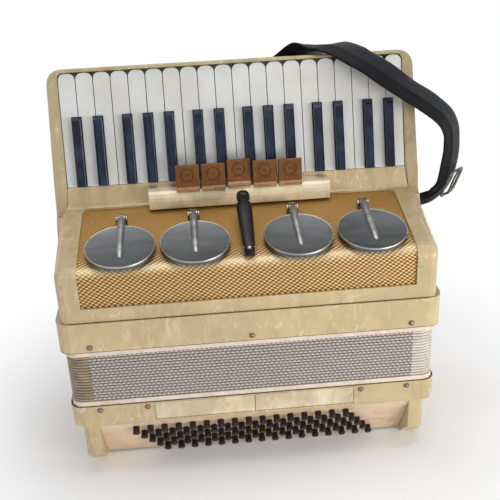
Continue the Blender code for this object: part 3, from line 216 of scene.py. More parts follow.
def makeGrilleCloth():
    made, tree, _, shader = startMaterial("wovenGoldYarn")
    flat = addNode(tree, "UVMap", uv_map="surface")
    parts = addNode(tree, "SeparateXYZ", {0: flat})
    sideways, upward = parts.outputs[0], parts.outputs[1]
    wobble = addNoise(tree, flat, 1 / 9, 2.0)
    leaned = addMath(tree, "MULTIPLY_ADD", upward, weave["lean"], sideways)
    shaken = addMath(tree, "MULTIPLY_ADD", wobble, 0.9, leaned)
    columns = addMath(tree, "COSINE", addMath(tree, "MULTIPLY", shaken, pi / weave["dotMm"]))
    rows = addMath(tree, "COSINE", addMath(tree, "MULTIPLY", upward, pi / weave["rowMm"]))
    beads = addRange(tree, addMath(tree, "MULTIPLY", columns, rows), -0.6, 0.75)
    tone = addNode(tree, "ValToRGB", {"Fac": beads},
                   stops=((0.05, weave["ground"]), (0.5, weave["yarn"]), (0.95, weave["top"])))
    # on the slope the beads are flattened towards one darker, duller brown: painted shade
    slope = addRange(tree, upward, weave["slopeStartMm"], weave["slopeEndMm"])
    slopeShadeShare = addRange(tree, addNoise(tree, flat, 1 / 30, 3.0), 0.3, 0.7, 0.82, 0.97)
    slopeShaded = addMix(tree, addMath(tree, "MULTIPLY", slope, slopeShadeShare), tone, weave["paintedShade"])
    # a pale band along the bend: painted highlight
    fromBend = addMath(tree, "ABSOLUTE", addMath(tree, "SUBTRACT", upward, weave["bendHighlightMm"]))
    bendHighlightShare = addRange(tree, fromBend, weave["bendHighlightWideMm"], weave["bendHighlightFullMm"], top=0.5)
    bendHighlighted = addMix(tree, bendHighlightShare, slopeShaded, weave["bendHighlight"])
    bump = addNode(tree, "Bump", {"Height": beads, "Distance": 0.0006, "Strength": 0.8})
    addNode(tree, shader, {"Base Color": bendHighlighted, "Normal": bump, "Metallic": 0.35, "Roughness": 0.4})
    return made


# mute discs: zinc alloy cast and plated in dull grey nickel, gone matt with a few polish smears
def makeDiscMetal(name, dark, bright):
    made, tree, place, shader = startMaterial(name)
    smear = addNoise(tree, stretch(tree, place, (0.35, 1.6, 1.0)), 1 / 14, 3.0)
    speck = addNoise(tree, place, 0.9, 2.0)
    body = addMix(tree, addRange(tree, smear, 0.4, 0.68), dark, bright)
    pitted = addMix(tree, addRange(tree, speck, 0.72, 0.82, top=0.35), body, "#474644")
    gloss = addRange(tree, smear, 0.3, 0.7, 0.36, 0.48)
    addNode(tree, shader, {"Base Color": pitted, "Metallic": 1.0, "Roughness": gloss})
    return made


# chrome plate on steel stampings, softened by wear, pitted brown where it has lifted
def makeChrome():
    made, tree, place, shader = startMaterial("platedSteelWorn")
    smear = addNoise(tree, place, 1 / 6, 4.0, 1.0)
    pits = addNoise(tree, place, 1.3, 2.0)
    body = addMix(tree, addRange(tree, smear, 0.35, 0.7), "#8A847C", "#B9B5AF")
    pitted = addMix(tree, addRange(tree, pits, 0.6, 0.75, top=0.7), body, "#6A5648")
    gloss = addRange(tree, smear, 0.3, 0.7, 0.12, 0.3)
    addNode(tree, shader, {"Base Color": pitted, "Metallic": 1.0, "Roughness": gloss})
    return made


# pins and buckle: brass and steel gone brown, mottled darker and brighter
def makeTarnished(name, dark, bright):
    made, tree, place, shader = startMaterial(name)
    stainAndShade = addNoise(tree, place, 0.6, 4.0)
    body = addMix(tree, addRange(tree, stainAndShade, 0.35, 0.65), dark, bright)
    gloss = addRange(tree, stainAndShade, 0.3, 0.7, 0.24, 0.42)
    addNode(tree, shader, {"Base Color": body, "Metallic": 1.0, "Roughness": gloss})
    return made


# cast and moulded plastics: a slow mottle in the colour, a finger-worn gloss
def makePlastic(name, low, high, mottleMm, roughness, coat, shine=0.5):
    made, tree, place, shader = startMaterial(name)
    mottle = addNoise(tree, place, 1 / mottleMm, 4.0, 0.8)
    body = addMix(tree, addRange(tree, mottle, 0.35, 0.68), low, high)
    gloss = addRange(tree, mottle, 0.3, 0.7, roughness * 0.8, roughness * 1.25)
    addNode(tree, shader, {"Base Color": body, "Roughness": gloss, "IOR": 1.52, "Specular IOR Level": shine,
                           "Coat Weight": coat, "Coat Roughness": 0.12})
    return made


# bellows edging: pressed art-silk tape with a broken check, light dashes over dark ones, 5.2 mm repeat
bellowsTape = {"dashMm": 5.2, "ground": "#9A8F88", "worn": "#AAA099", "light": "#D2C8C0", "dark": "#4C4440"}


def makeBellowsTape():
    made, tree, place, shader = startMaterial("pressedCheckTape")
    parts = addNode(tree, "SeparateXYZ", {0: addNode(tree, "UVMap", uv_map="surface")})
    sideways, upward = parts.outputs[0], parts.outputs[1]
    wave = addMath(tree, "SINE", addMath(tree, "MULTIPLY", sideways, 2 * pi / bellowsTape["dashMm"]))
    grain = addNoise(tree, place, 0.8, 3.0)
    lightDash = addMath(tree, "MULTIPLY", addRange(tree, wave, -0.45, 0.25), addRange(tree, upward, 1.1, 1.7))
    darkDash = addMath(tree, "MULTIPLY", addRange(tree, wave, 0.35, -0.35), addRange(tree, upward, 1.5, 0.8))
    body = addMix(tree, addRange(tree, grain, 0.35, 0.65), bellowsTape["ground"], bellowsTape["worn"])
    dashed = addMix(tree, lightDash, body, bellowsTape["light"])
    checked = addMix(tree, darkDash, dashed, bellowsTape["dark"])
    bump = addNode(tree, "Bump", {"Height": grain, "Distance": 0.0002, "Strength": 0.5})
    addNode(tree, shader, {"Base Color": checked, "Roughness": 0.6, "IOR": 1.45, "Normal": bump,
                           "Sheen Weight": 0.15})
    return made


# leather: chrome-tanned hide, pebbled at 1.5 mm, rubbed grey in cracked patches
def makeLeather(name, low, high, roughness):
    made, tree, place, shader = startMaterial(name)
    patch = addNoise(tree, place, 1 / 20, 4.0, 0.6)
    pebble = addNode(tree, "TexVoronoi", {"Vector": place, "Scale": 0.66}, feature="DISTANCE_TO_EDGE")
    crack = addNoise(tree, place, 0.35, 5.0, 2.0)
    body = addMix(tree, addRange(tree, patch, 0.32, 0.68), low, high)
    bendHighlighted = addMix(tree, addRange(tree, crack, 0.62, 0.76, top=0.35), body, "#2A2B30")
    gloss = addRange(tree, patch, 0.3, 0.7, roughness - 0.06, roughness + 0.1)
    height = addRange(tree, pebble, 0.0, 0.25)
    grain = addNode(tree, "Bump", {"Height": height, "Distance": 0.00025, "Strength": 0.5})
    addNode(tree, shader, {"Base Color": bendHighlighted, "Roughness": gloss, "IOR": 1.5, "Specular IOR Level": 0.14,
                           "Normal": grain})
    return made


# felt and card: fibres with no gloss at all
def makeFelt(name, low, high):
    made, tree, place, shader = startMaterial(name)
    fibre = addNoise(tree, place, 1.1, 5.0)
    body = addMix(tree, addRange(tree, fibre, 0.3, 0.7), low, high)
    bump = addNode(tree, "Bump", {"Height": fibre, "Distance": 0.0003, "Strength": 0.7})
    addNode(tree, shader, {"Base Color": body, "Roughness": 0.92, "Normal": bump, "Sheen Weight": 0.2})
    return made


pearl = makePearl("celluloidPearlCream", "#C4AE82", "#CDB588", "#D4BD92")
# the cover's pearl has a little painted shadow at its right end
pearlCover = makePearl("celluloidPearlCover", "#C4AE82", "#CDB588", "#D4BD92", 0.1)
# a darker copy of the pearl for the keyboard frame: painted shade, with strong painted shadow of the strap at
# its right end
pearlShaded = makePearl("celluloidPearlPaintedShade", "#A5946C", "#B5A37A", "#C0AE86", 0.5)
# a lighter copy of the pearl for the bass register bars: painted light
pearlLit = makePearl("celluloidPearlPaintedLight", "#D9C7A2", "#E4D4B2", "#EFE3C8")
# a still lighter copy of the pearl for the switch block: painted highlight
pearlHighlight = makePearl("celluloidPearlPaintedHighlight", "#EBD8B0", "#F4E3BD", "#FAEDCF")
keyWhite = makeKeyWhite()
keyBlack = makeKeyBlack()
grilleYarn = makeGrilleCloth()
discNickel = makeDiscMetal("castDiscNickel", "#626465", "#6B6D6E")
# the fingers get a lighter copy of the disc nickel: painted light
fingerNickelLit = makeDiscMetal("castFingerNickelPaintedLight", "#8C8D8E", "#ABABAB")
# the rim bead gets a lighter copy of the disc nickel: painted highlight
rimNickelHighlight = makeDiscMetal("rimNickelPaintedHighlight", "#9C9B99", "#B9B8B6")
chrome = makeChrome()
pinBrass = makeTarnished("tarnishedBrassPin", "#5A4C42", "#A08C7C")
buckleSteel = makeTarnished("tarnishedBuckleSteel", "#4A4846", "#8C8986")
switchBrown = makePlastic("castResinBrown", "#704824", "#80542C", 7.0, 0.4, 0.0, 0.2)
switchLip = makePlastic("castResinBrownRubbed", "#9A7048", "#B68C62", 4.0, 0.34, 0.1)
markBrown = makePlastic("castResinBrownMark", "#4C2A12", "#5A351B", 4.0, 0.45, 0.0, 0.2)
leverBlack = makePlastic("mouldedLeverBlack", "#120A07", "#22150E", 9.0, 0.3, 0.0, 0.15)
frameIvory = makePlastic("lacqueredFrameIvory", "#DFCBB8", "#EFE1D3", 18.0, 0.34, 0.3)
buttonBrown = makePlastic("turnedButtonBrown", "#190D10", "#28181B", 3.0, 0.3, 0.0, 0.28)
boardPeach = makePlastic("celluloidBoardPeach", "#DDBD9B", "#EDD4B8", 24.0, 0.3, 0.25)
# corner covers in a darker and a lighter copy of one material: painted shade on the left, painted light on
# the right
cornerShaded = makePlastic("pressedCornerPaintedShade", "#94836A", "#B3A389", 14.0, 0.42, 0.1)
cornerLit = makePlastic("pressedCornerPaintedLight", "#CFC5B8", "#E2DAD0", 14.0, 0.42, 0.1)
tape = makeBellowsTape()
pleatCard = makeFelt("foldedCardGrey", "#5B5550", "#7A736D")
strapTop = makeLeather("padLeatherTop", "#0A0B10", "#161821", 0.46)
# a darker copy of the pad leather for the side below the crease: painted shade
strapShadedSide = makeLeather("padLeatherPaintedShade", "#050508", "#0B0B10", 0.5)
strapTab = makeLeather("flatBlackTab", "#121214", "#28282C", 0.42)
felt = makeFelt("pressedFeltBrown", "#2E2018", "#43301F")
print("materials made")


def skinRows(name, rows, look, ring=False, caps=False, mapping=None, smooth=40):
    # skin a grid of points; mapping(row, column) gives a surface place in millimetres
    work = bmesh.new()
    grid = [[work.verts.new(point) for point in row] for row in rows]
    layer = work.loops.layers.uv.new("surface")
    count = len(rows[0])
    for low in range(len(rows) - 1):
        for left in range(count if ring else count - 1):
            right = (left + 1) % count
            lower, upper = grid[low], grid[low + 1]
            face = work.faces.new((lower[left], lower[right], upper[right], upper[left]))
            if mapping:
                steps = ((low, left), (low, left + 1), (low + 1, left + 1), (low + 1, left))
                for corner, (row, column) in zip(face.loops, steps):
                    corner[layer].uv = mapping(row, column)
    if caps:
        work.faces.new(list(reversed(grid[0])))
        work.faces.new(grid[-1])
    bmesh.ops.recalc_face_normals(work, faces=work.faces)
    return finishMesh(name, work, look, smooth)


def finishMesh(name, work, look, smooth=40):
    mesh = bpy.data.meshes.new(name)
    work.to_mesh(mesh)
    work.free()
    mesh.shade_smooth()
    mesh.set_sharp_from_angle(angle=radians(smooth))
    mesh.materials.append(look)
    piece = bpy.data.objects.new(name, mesh)
    bpy.context.scene.collection.objects.link(piece)
    return piece


def turned(name, profile, centre, axis, look, sides=48, smooth=40):
    # turn a profile of (radius, height) points round an axis; the first and last points may be on it
    axis = axis.normalized()
    side = axis.orthogonal().normalized()
    other = axis.cross(side)
    turns = [2 * pi * k / sides for k in range(sides)]
    rows = []
    for radius, height in profile:
        reach = max(radius, 0.00001)
        middle = centre + axis * height
        rows.append([middle + reach * (side * cos(turn) + other * sin(turn)) for turn in turns])
    return skinRows(name, rows, look, ring=True, caps=True, smooth=smooth)


def roundEdges(piece, width, steps=2, limit=35):
    edge = piece.modifiers.new("roundedEdges", "BEVEL")
    edge.width = width
    edge.segments = steps
    edge.limit_method = "ANGLE"
    edge.angle_limit = radians(limit)
    return piece


def joinPieces(pieces):
    # one mesh of several with the first one's name and look
    first = pieces[0]
    work = bmesh.new()
    for piece in pieces:
        work.from_mesh(piece.data)
    look = first.data.materials[0]
    name = first.name
    for piece in pieces:
        bpy.data.objects.remove(piece, do_unlink=True)
    return finishMesh(name, work, look)


def roundedPlan(half, low, high, radius, steps=6):
    # closed plan of a case as (x, y) points, anticlockwise from the front left corner
    points = []
    for index, (x, y) in enumerate(((-half, low), (half, low), (half, high), (-half, high))):
        centreX = x + (radius if x < 0 else -radius)
        centreY = y + (radius if y == low else -radius)
        start = (pi, 1.5 * pi, 0.0, 0.5 * pi)[index]
        for step in range(steps + 1):
            turn = start + 0.5 * pi * step / steps
            points.append((centreX + radius * cos(turn), centreY + radius * sin(turn)))
    return points


# carried-over solids get their finishes and broken edges; the keyboard frame gets a darker copy of the pearl
# as painted shade, and the bass bars and switch block get lighter copies as painted light and painted
# highlight
finishes = {"treble_case": pearl, "treble_cover": pearlCover, "keyboard_frame": pearlShaded,
            "switch_block": pearlHighlight, "bass_case": pearl, "bass_register_bar_left": pearlLit,
            "bass_register_bar_right": pearlLit, "key_axle": chrome, "bellows_frame_bass": frameIvory,
            "bellows_frame_treble": frameIvory}
edgeWidths = {"treble_case": 0.0007, "treble_cover": 0.0006, "switch_block": 0.0006, "bass_case": 0.0008,
              "bellows_frame_bass": 0.0021, "bellows_frame_treble": 0.0021, "key_white": 0.0005,
              "key_black": 0.0004}


def dressSolids():
    for name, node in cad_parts.items():
        look = finishes.get(name)
        width = edgeWidths.get(name)
        if name.startswith("key_white"):
            look = keyWhite
            width = edgeWidths["key_white"]
        if name.startswith("key_black"):
            look = keyBlack
            width = edgeWidths["key_black"]
        if look is None:
            continue
        for index in range(len(node.material_slots)):
            node.material_slots[index].material = look
        if width:
            roundEdges(node, width)


dressSolids()
print("solids dressed")


# grille: the cloth wraps up the front, round the bend and back along the slope
grille = {"half": 0.190, "inset": 0.0027, "foot": beltTop + 0.0110, "bendRadius": 0.0113, "slopeEnd": 0.1262,
          "thickness": 0.0008, "frontSteps": 24, "bendSteps": 12, "slopeSteps": 40, "columns": 60}


def grilleLine():
    # side view of the cloth as (point, distance from its lower edge)
    inset = grille["inset"]
    frontSteps, bendSteps, slopeSteps = grille["frontSteps"], grille["bendSteps"], grille["slopeSteps"]
    corner = Vector((0, coverFront + inset, bend.z - inset * (1 - sin(slopeTilt)) / cos(slopeTilt)))
    radius = grille["bendRadius"]
    reach = radius * tan((pi / 2 - slopeTilt) / 2)
    middle = corner + Vector((0, radius, -reach))
    front = corner.z - reach - grille["foot"]
    points = [Vector((0, corner.y, grille["foot"] + front * k / frontSteps)) for k in range(frontSteps + 1)]
    for step in range(1, bendSteps + 1):
        turn = (pi / 2 - slopeTilt) * step / bendSteps
        points.append(middle + radius * Vector((0, -cos(turn), sin(turn))))
    start = points[-1]
    end = start + upSlope * (grille["slopeEnd"] - reach)
    points += [start.lerp(end, k / slopeSteps) for k in range(1, slopeSteps + 1)]
    line, distance = [], 0.0
    for index, point in enumerate(points):
        if index:
            distance += (point - points[index - 1]).length
        line.append((shift + point, distance))
    return line


def makeGrille():
    line = grilleLine()
    columns = grille["columns"]
    wide = 2 * grille["half"]
    steps = [(k / columns - 0.5) * wide for k in range(columns + 1)]
    rows = [[point + across * step for step in steps] for point, _ in line]
    cloth = skinRows("grilleCloth", rows, grilleYarn, smooth=60,
                     mapping=lambda row, column: (1000 * column / columns * wide, 1000 * line[row][1]))
    back = cloth.modifiers.new("clothThickness", "SOLIDIFY")
    back.thickness = grille["thickness"]
    back.offset = -1
    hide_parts("grille_sheet")
    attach(cloth, "treble")


makeGrille()
print("grille cloth made")


# mute discs: turned rim, half-round finger and a hinge block between two ears
disc = {"places": (-0.1378, -0.0557, 0.0585, 0.1410), "along": 0.0362, "top": 0.0059, "radius": 0.0386,
        "rim": 0.0045, "pad": 0.0240, "padOff": 0.006, "hingeAlong": 0.0915, "hingeLift": 0.0035,
        "hubHalf": 0.0046, "hubReach": 0.0050, "hubRise": 0.0042, "hubLift": 0.0008, "earGap": 0.0049,
        "earThick": 0.0017, "earRadius": 0.0040}


def squared(share, power):
    # a circle's cosine or sine bent towards a rounded square
    return abs(share) ** power * (1 if share > 0 else -1)


def fingerRows(x):
    # along the slope, half width, underside and crest heights
    stations = ((0.0925, 0.0038, 0.0030, 0.0070), (0.0890, 0.0044, 0.0050, 0.0092),
                (0.0830, 0.0046, 0.0058, 0.0106), (0.0700, 0.0044, 0.0058, 0.0106),
                (0.0480, 0.0039, 0.0056, 0.0099), (0.0280, 0.0034, 0.0056, 0.0090),
                (0.0190, 0.0030, 0.0056, 0.0083), (0.0160, 0.0022, 0.0056, 0.0075),
                (0.0147, 0.0009, 0.0056, 0.0065))
    rows = []
    for along, half, low, high in stations:
        row = []
        for k in range(13):
            turn = pi * k / 12
            row.append(onSlope(along, low + (high - low) * sin(turn) ** 0.85, x - half * cos(turn)))
        rows.append(row)
    return rows


def makeDisc(index, x):
    body = "mute_disc_%d" % (index + 1)
    top, radius, rim = disc["top"], disc["radius"], disc["rim"]
    centre = onSlope(disc["along"], 0, x)
    # each profile gives distance from the disc's middle and height above the slope
    profile = [(0.0, top - 0.0004), (radius - 0.0024, top - 0.0004), (radius - 0.0017, top - 0.0002),
               (radius - 0.0009, top), (radius - 0.0003, top - 0.0003), (radius, top - 0.0009),
               (radius, top - rim), (radius - 0.0005, top - rim - 0.0003), (radius - 0.0010, top - rim),
               (radius - 0.0010, top - 0.0018), (0.0, top - 0.0018)]
    plate = turned("muteDisc_%d" % (index + 1), profile, centre, offSlope, discNickel, 96, 30)
    # the rim bead in the lighter nickel: painted highlight
    profile = [(radius - 0.0011, top - 0.0006), (radius - 0.0008, top), (radius - 0.0003, top + 0.0001),
               (radius, top - 0.0004), (radius + 0.0002, top - 0.0012), (radius - 0.0004, top - 0.0016)]
    bead = turned("discRim_%d" % (index + 1), profile, centre, offSlope, rimNickelHighlight, 96, 40)
    profile = [(0.0, -0.0024), (disc["pad"] - 0.0005, -0.0024), (disc["pad"], -0.0018),
               (disc["pad"], top - 0.0019), (0.0, top - 0.0019)]
    padCentre = onSlope(disc["along"] + disc["padOff"], 0, x)
    pad = turned("discFelt_%d" % (index + 1), profile, padCentre, offSlope, felt)
    # the finger in the lighter nickel: painted light
    finger = skinRows("discFinger_%d" % (index + 1), fingerRows(x), fingerNickelLit, ring=True, caps=True,
                      smooth=50)
    hinge = onSlope(disc["hingeAlong"], disc["hingeLift"], x)
    hub = disc["hubHalf"]
    rows = []
    for side in (-1.0, -0.86, 0.86, 1.0):
        size = 1.0 if abs(side) < 0.95 else 0.82
        row = []
        for k in range(16):
            turn = 2 * pi * k / 16
            forward = disc["hubReach"] * squared(cos(turn), 0.5)
            rise = disc["hubLift"] + disc["hubRise"] * squared(sin(turn), 0.5)
            row.append(hinge + across * side * hub + (upSlope * forward + offSlope * rise) * size)
        rows.append(row)
    block = skinRows("discHub_%d" % (index + 1), rows, chrome, ring=True, caps=True, smooth=50)
    profile = [(0.0, 0.0066), (0.0016, 0.0064), (0.0023, 0.0058), (0.0024, 0.0048), (0.0, 0.0046)]
    screwCentre = onSlope(disc["hingeAlong"] - 0.0010, 0.0020, x)
    screw = turned("discScrew_%d" % (index + 1), profile, screwCentre, offSlope, chrome, 20)
    for piece in (plate, bead, pad, finger, block, screw):
        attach(piece, body)
    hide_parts(body)


def makeBracket(name, along, lift, x, look):
    # two ears on the grille sheet and the pin that runs through them
    outer = disc["earGap"] + disc["earThick"]
    ears = []
    for side in (-1, 1):
        low, high = sorted((side * disc["earGap"], side * outer))
        radius = disc["earRadius"]
        outline = [(along - 0.0045, -0.0030), (along + 0.0045, -0.0030)]
        outline += [(along + radius * cos(pi * k / 10), lift + radius * sin(pi * k / 10)) for k in range(11)]
        rows = [[onSlope(up, off, x + place) for up, off in outline] for place in (low, high)]
        ears.append(skinRows(name, rows, look, ring=True, caps=True))
    profile = [(0.0, -outer - 0.0006), (0.0012, -outer - 0.0005), (0.0014, -outer), (0.0014, outer),
               (0.0012, outer + 0.0005), (0.0, outer + 0.0006)]
    ears.append(turned(name, profile, onSlope(along, lift, x), across, look, 16))
    bracket = roundEdges(joinPieces(ears), 0.0003)
    bracket.name = name
    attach(bracket, "treble")


for order, discX in enumerate(disc["places"]):
    makeDisc(order, discX)
    makeBracket("discBracket_%d" % (order + 1), disc["hingeAlong"], disc["hingeLift"], discX, chrome)
print("discs made")


# mute lever: one black moulding with a thumb knob, a chrome toe at its hinge end
lever = {"x": 0.0020, "hingeAlong": 0.0170, "hingeLift": 0.0035}


def makeLever():
    # along from the hinge, half width, underside and top above the slope
    stations = ((-0.0100, 0.0014, 0.0024, 0.0046), (-0.0090, 0.0044, 0.0010, 0.0062),
                (-0.0050, 0.0060, 0.0010, 0.0080), (0.0030, 0.0066, 0.0028, 0.0106),
                (0.0180, 0.0072, 0.0052, 0.0138), (0.0320, 0.0079, 0.0080, 0.0170),
                (0.0450, 0.0084, 0.0104, 0.0197), (0.0580, 0.0089, 0.0130, 0.0223),
                (0.0640, 0.0087, 0.0141, 0.0230), (0.0668, 0.0072, 0.0150, 0.0228),
                (0.0684, 0.0056, 0.0158, 0.0230), (0.0698, 0.0062, 0.0162, 0.0250),
                (0.0716, 0.0072, 0.0166, 0.0272), (0.0760, 0.0076, 0.0168, 0.0282),
                (0.0795, 0.0070, 0.0172, 0.0281), (0.0815, 0.0052, 0.0180, 0.0272),
                (0.0826, 0.0014, 0.0200, 0.0246))
    rows = []
    sides = 28
    for along, half, low, high in stations:
        row = []
        for k in range(sides):
            turn = 2 * pi * k / sides
            wide = squared(cos(turn), 0.75)
            rise = (low + high) / 2 + (high - low) / 2 * squared(sin(turn), 0.8)
            row.append(onSlope(lever["hingeAlong"] + along, rise, lever["x"] + half * wide))
        rows.append(row)
    arm = skinRows("muteLever", rows, leverBlack, ring=True, caps=True, smooth=60)
    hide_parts("mute_lever")
    profile = [(0.0, 0.0082), (0.0014, 0.0081), (0.0024, 0.0074), (0.0027, 0.0062), (0.0, 0.0060)]
    toeCentre = onSlope(lever["hingeAlong"] - 0.004, 0.0022, lever["x"])
    toe = turned("leverScrew", profile, toeCentre, offSlope, chrome, 20)
    for piece in (arm, toe):
        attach(piece, "mute_lever")
    makeBracket("leverBracket", lever["hingeAlong"], lever["hingeLift"], lever["x"], buckleSteel)


makeLever()
print("lever made")


# register switches: tabs on stems that rock in the block's trough
switches = {"count": 5, "pitch": 0.0298, "width": 0.0272, "height": 0.0283, "shelf": lip.z - 0.0040,
            "foot": 0.0010, "lean": 0.0022, "dish": 0.0006, "face": 0.1107, "pivotY": 0.1197,
            "pivotDrop": 0.0080, "throw": radians(14), "pressed": 2, "signHeight": 0.0172, "ring": 0.0072,
            "ruleHalf": 0.0075,
            "dots": ((-0.0018, 0.0018), (0.0,), (-0.0024, 0.0, 0.0024), (0.0,), (-0.0016, 0.0016))}


def makeSwitch(index):
    body = "register_switch_%d" % (index + 1)
    x = (index - (switches["count"] - 1) / 2) * switches["pitch"]
    half = switches["width"] / 2
    base = switches["shelf"] + switches["foot"]
    face = switches["face"]
    lean = switches["lean"]
    tall = switches["height"]
    dish = switches["dish"]
    pivotZ = switches["shelf"] - switches["pivotDrop"]
    pivot = shift + Vector((x, switches["pivotY"], pivotZ))
    pose = Matrix.Identity(4)
    if index == switches["pressed"]:
        tip = Matrix.Rotation(-switches["throw"], 4, "X")
        pose = Matrix.Translation(pivot) @ tip @ Matrix.Translation(-pivot)

    def at(px, py, pz):
        return pose @ (shift + Vector((x + px, py, pz)))

    # the face dishes slightly between its top and its lip
    outline = [(face, base + 0.0024)]
    for k in range(1, 9):
        share = k / 8
        deep = lean * share + dish * sin(pi * share)
        outline.append((face + deep, base + 0.0024 + (tall - 0.0030) * share))
    outline += [(face + lean + 0.0008, base + tall), (face + lean + 0.0032, base + tall),
                (face + lean + 0.0040, base + tall - 0.0008), (face + 0.0098, base + 0.0042),
                (face + 0.0108, base + 0.0002), (face + 0.0045, base + 0.0002),
                (face + 0.0002, base - 0.0020)]
    rows = [[at(px, y, z) for y, z in outline] for px in (-half, half)]
    tab = skinRows("switchTab_%d" % (index + 1), rows, switchBrown, ring=True, caps=True, smooth=30)
    roundEdges(tab, 0.0012, 3)
    lipLine = [(face - 0.0013, base - 0.0024), (face - 0.0013, base + 0.0010), (face - 0.0002, base + 0.0027),
               (face + 0.0030, base + 0.0027), (face + 0.0030, base - 0.0010)]
    rows = [[at(px, y, z) for y, z in lipLine] for px in (-half, half)]
    ledge = skinRows("switchLip_%d" % (index + 1), rows, switchLip, ring=True, caps=True, smooth=30)
    roundEdges(ledge, 0.0004)
    stemLine = [(0.0118, 0.0100), (0.0084, 0.0010)]
    stemLine += [(0.0119 - 0.0034 * cos(pi * k / 8), -0.0034 * sin(pi * k / 8)) for k in range(9)]
    stemLine += [(0.0155, 0.0010), (0.0122, 0.0100)]
    stemLine = [(face - 0.0030 + y, pivotZ + z) for y, z in stemLine]
    rows = [[at(px, y, z) for y, z in stemLine] for px in (-half + 0.0030, half - 0.0030)]
    stem = skinRows("switchStem_%d" % (index + 1), rows, markBrown, ring=True, caps=True)
    # round register sign with its dots, and a ruled line below
    signs = []
    centreZ = base + switches["signHeight"]
    slant = Vector((0, lean, tall)).normalized()
    out = Vector((0, -slant.z, slant.y))

    def onFace(px, up, lift):
        y = face + lean * (centreZ + up - base - 0.0024) / tall + 0.0004
        return pose @ (shift + Vector((x + px, y, centreZ + up)) + out * lift)

    radius = switches["ring"]
    ridge = ((-0.0005, -0.0004), (-0.0003, 0.00025), (0.0003, 0.00025), (0.0005, -0.0004))
    rows = []
    for k in range(33):
        right, up = cos(2 * pi * k / 32), sin(2 * pi * k / 32)
        rows.append([onFace((radius + dr) * right, (radius + dr) * up, lift) for dr, lift in ridge])
    signs.append(skinRows("ring", rows, markBrown))
    for dotX in switches["dots"][index]:
        rows = []
        for size, lift in ((0.0009, -0.0004), (0.0008, 0.0002), (0.0004, 0.00035)):
            turns = [2 * pi * k / 12 for k in range(12)]
            rows.append([onFace(dotX + size * cos(turn), size * sin(turn), lift) for turn in turns])
        signs.append(skinRows("dot", rows, markBrown, ring=True, caps=True))
    ruleLine = ((-0.0082, -0.0004), (-0.0082, 0.0002), (-0.0088, 0.0002), (-0.0088, -0.0004))
    ruleEnds = (-switches["ruleHalf"], switches["ruleHalf"])
    rows = [[onFace(px, up, lift) for up, lift in ruleLine] for px in ruleEnds]
    signs.append(skinRows("rule", rows, markBrown))
    signs[0].name = "switchSign_%d" % (index + 1)
    sign = joinPieces(signs)
    for piece in (tab, ledge, stem, sign):
        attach(piece, body)
    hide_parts(body)


for number in range(switches["count"]):
    makeSwitch(number)
print("switches made")


# bellows: sixteen taped ridges, with card pleats between
bellows = {"folds": 16, "base": 0.1056, "height": 0.0600, "half": 0.2090, "low": 0.0020, "high": 0.1900,
           "radius": 0.0160, "cover": 0.0260, "raise": 0.0005, "depth": 0.0165, "pleatInset": 0.0030,
           "blendReach": 2.0}


def bellowsPlan(inset, covers):
    # plan of the ring as (x, y, distance round it, whether a corner cover starts there)
    half, low, high = bellows["half"] - inset, bellows["low"] + inset, bellows["high"] - inset
    radius = max(bellows["radius"] - inset, 0.001)
    points = []
    # each corner with the directions in which the outline comes and leaves
    corners = (((-half, low), (0, -1), (1, 0)), ((half, low), (1, 0), (0, 1)),
               ((half, high), (0, 1), (-1, 0)), ((-half, high), (-1, 0), (0, -1)))
    for (x, y), come, leave in corners:
        come, leave, corner = Vector(come), Vector(leave), Vector((x, y))
        lift = bellows["raise"] if covers else 0.0
        reach = max(bellows["cover"] - inset, radius + 0.002)
        points.append((corner - come * reach, 0))
        points.append((corner - come * reach - leave * lift, 1))
        middle = corner - come * radius + leave * radius
        for step in range(7):
            turn = 0.5 * pi * step / 6
            points.append((middle + (radius + lift) * (-leave * cos(turn) + come * sin(turn)), 1))
        points.append((corner + leave * reach + come * lift, 1))
        points.append((corner + leave * reach, 0))
    found, distance = [], 0.0
    for index, (point, covered) in enumerate(points):
        if index:
            distance += (point - points[index - 1][0]).length
        found.append((point.x, point.y, distance, covered))
    return found


def ringRows(profile, covers):
    rows = []
    for inset, z in profile:
        rows.append([shift + Vector((x, y, z)) for x, y, _, _ in bellowsPlan(inset, covers)])
    return rows


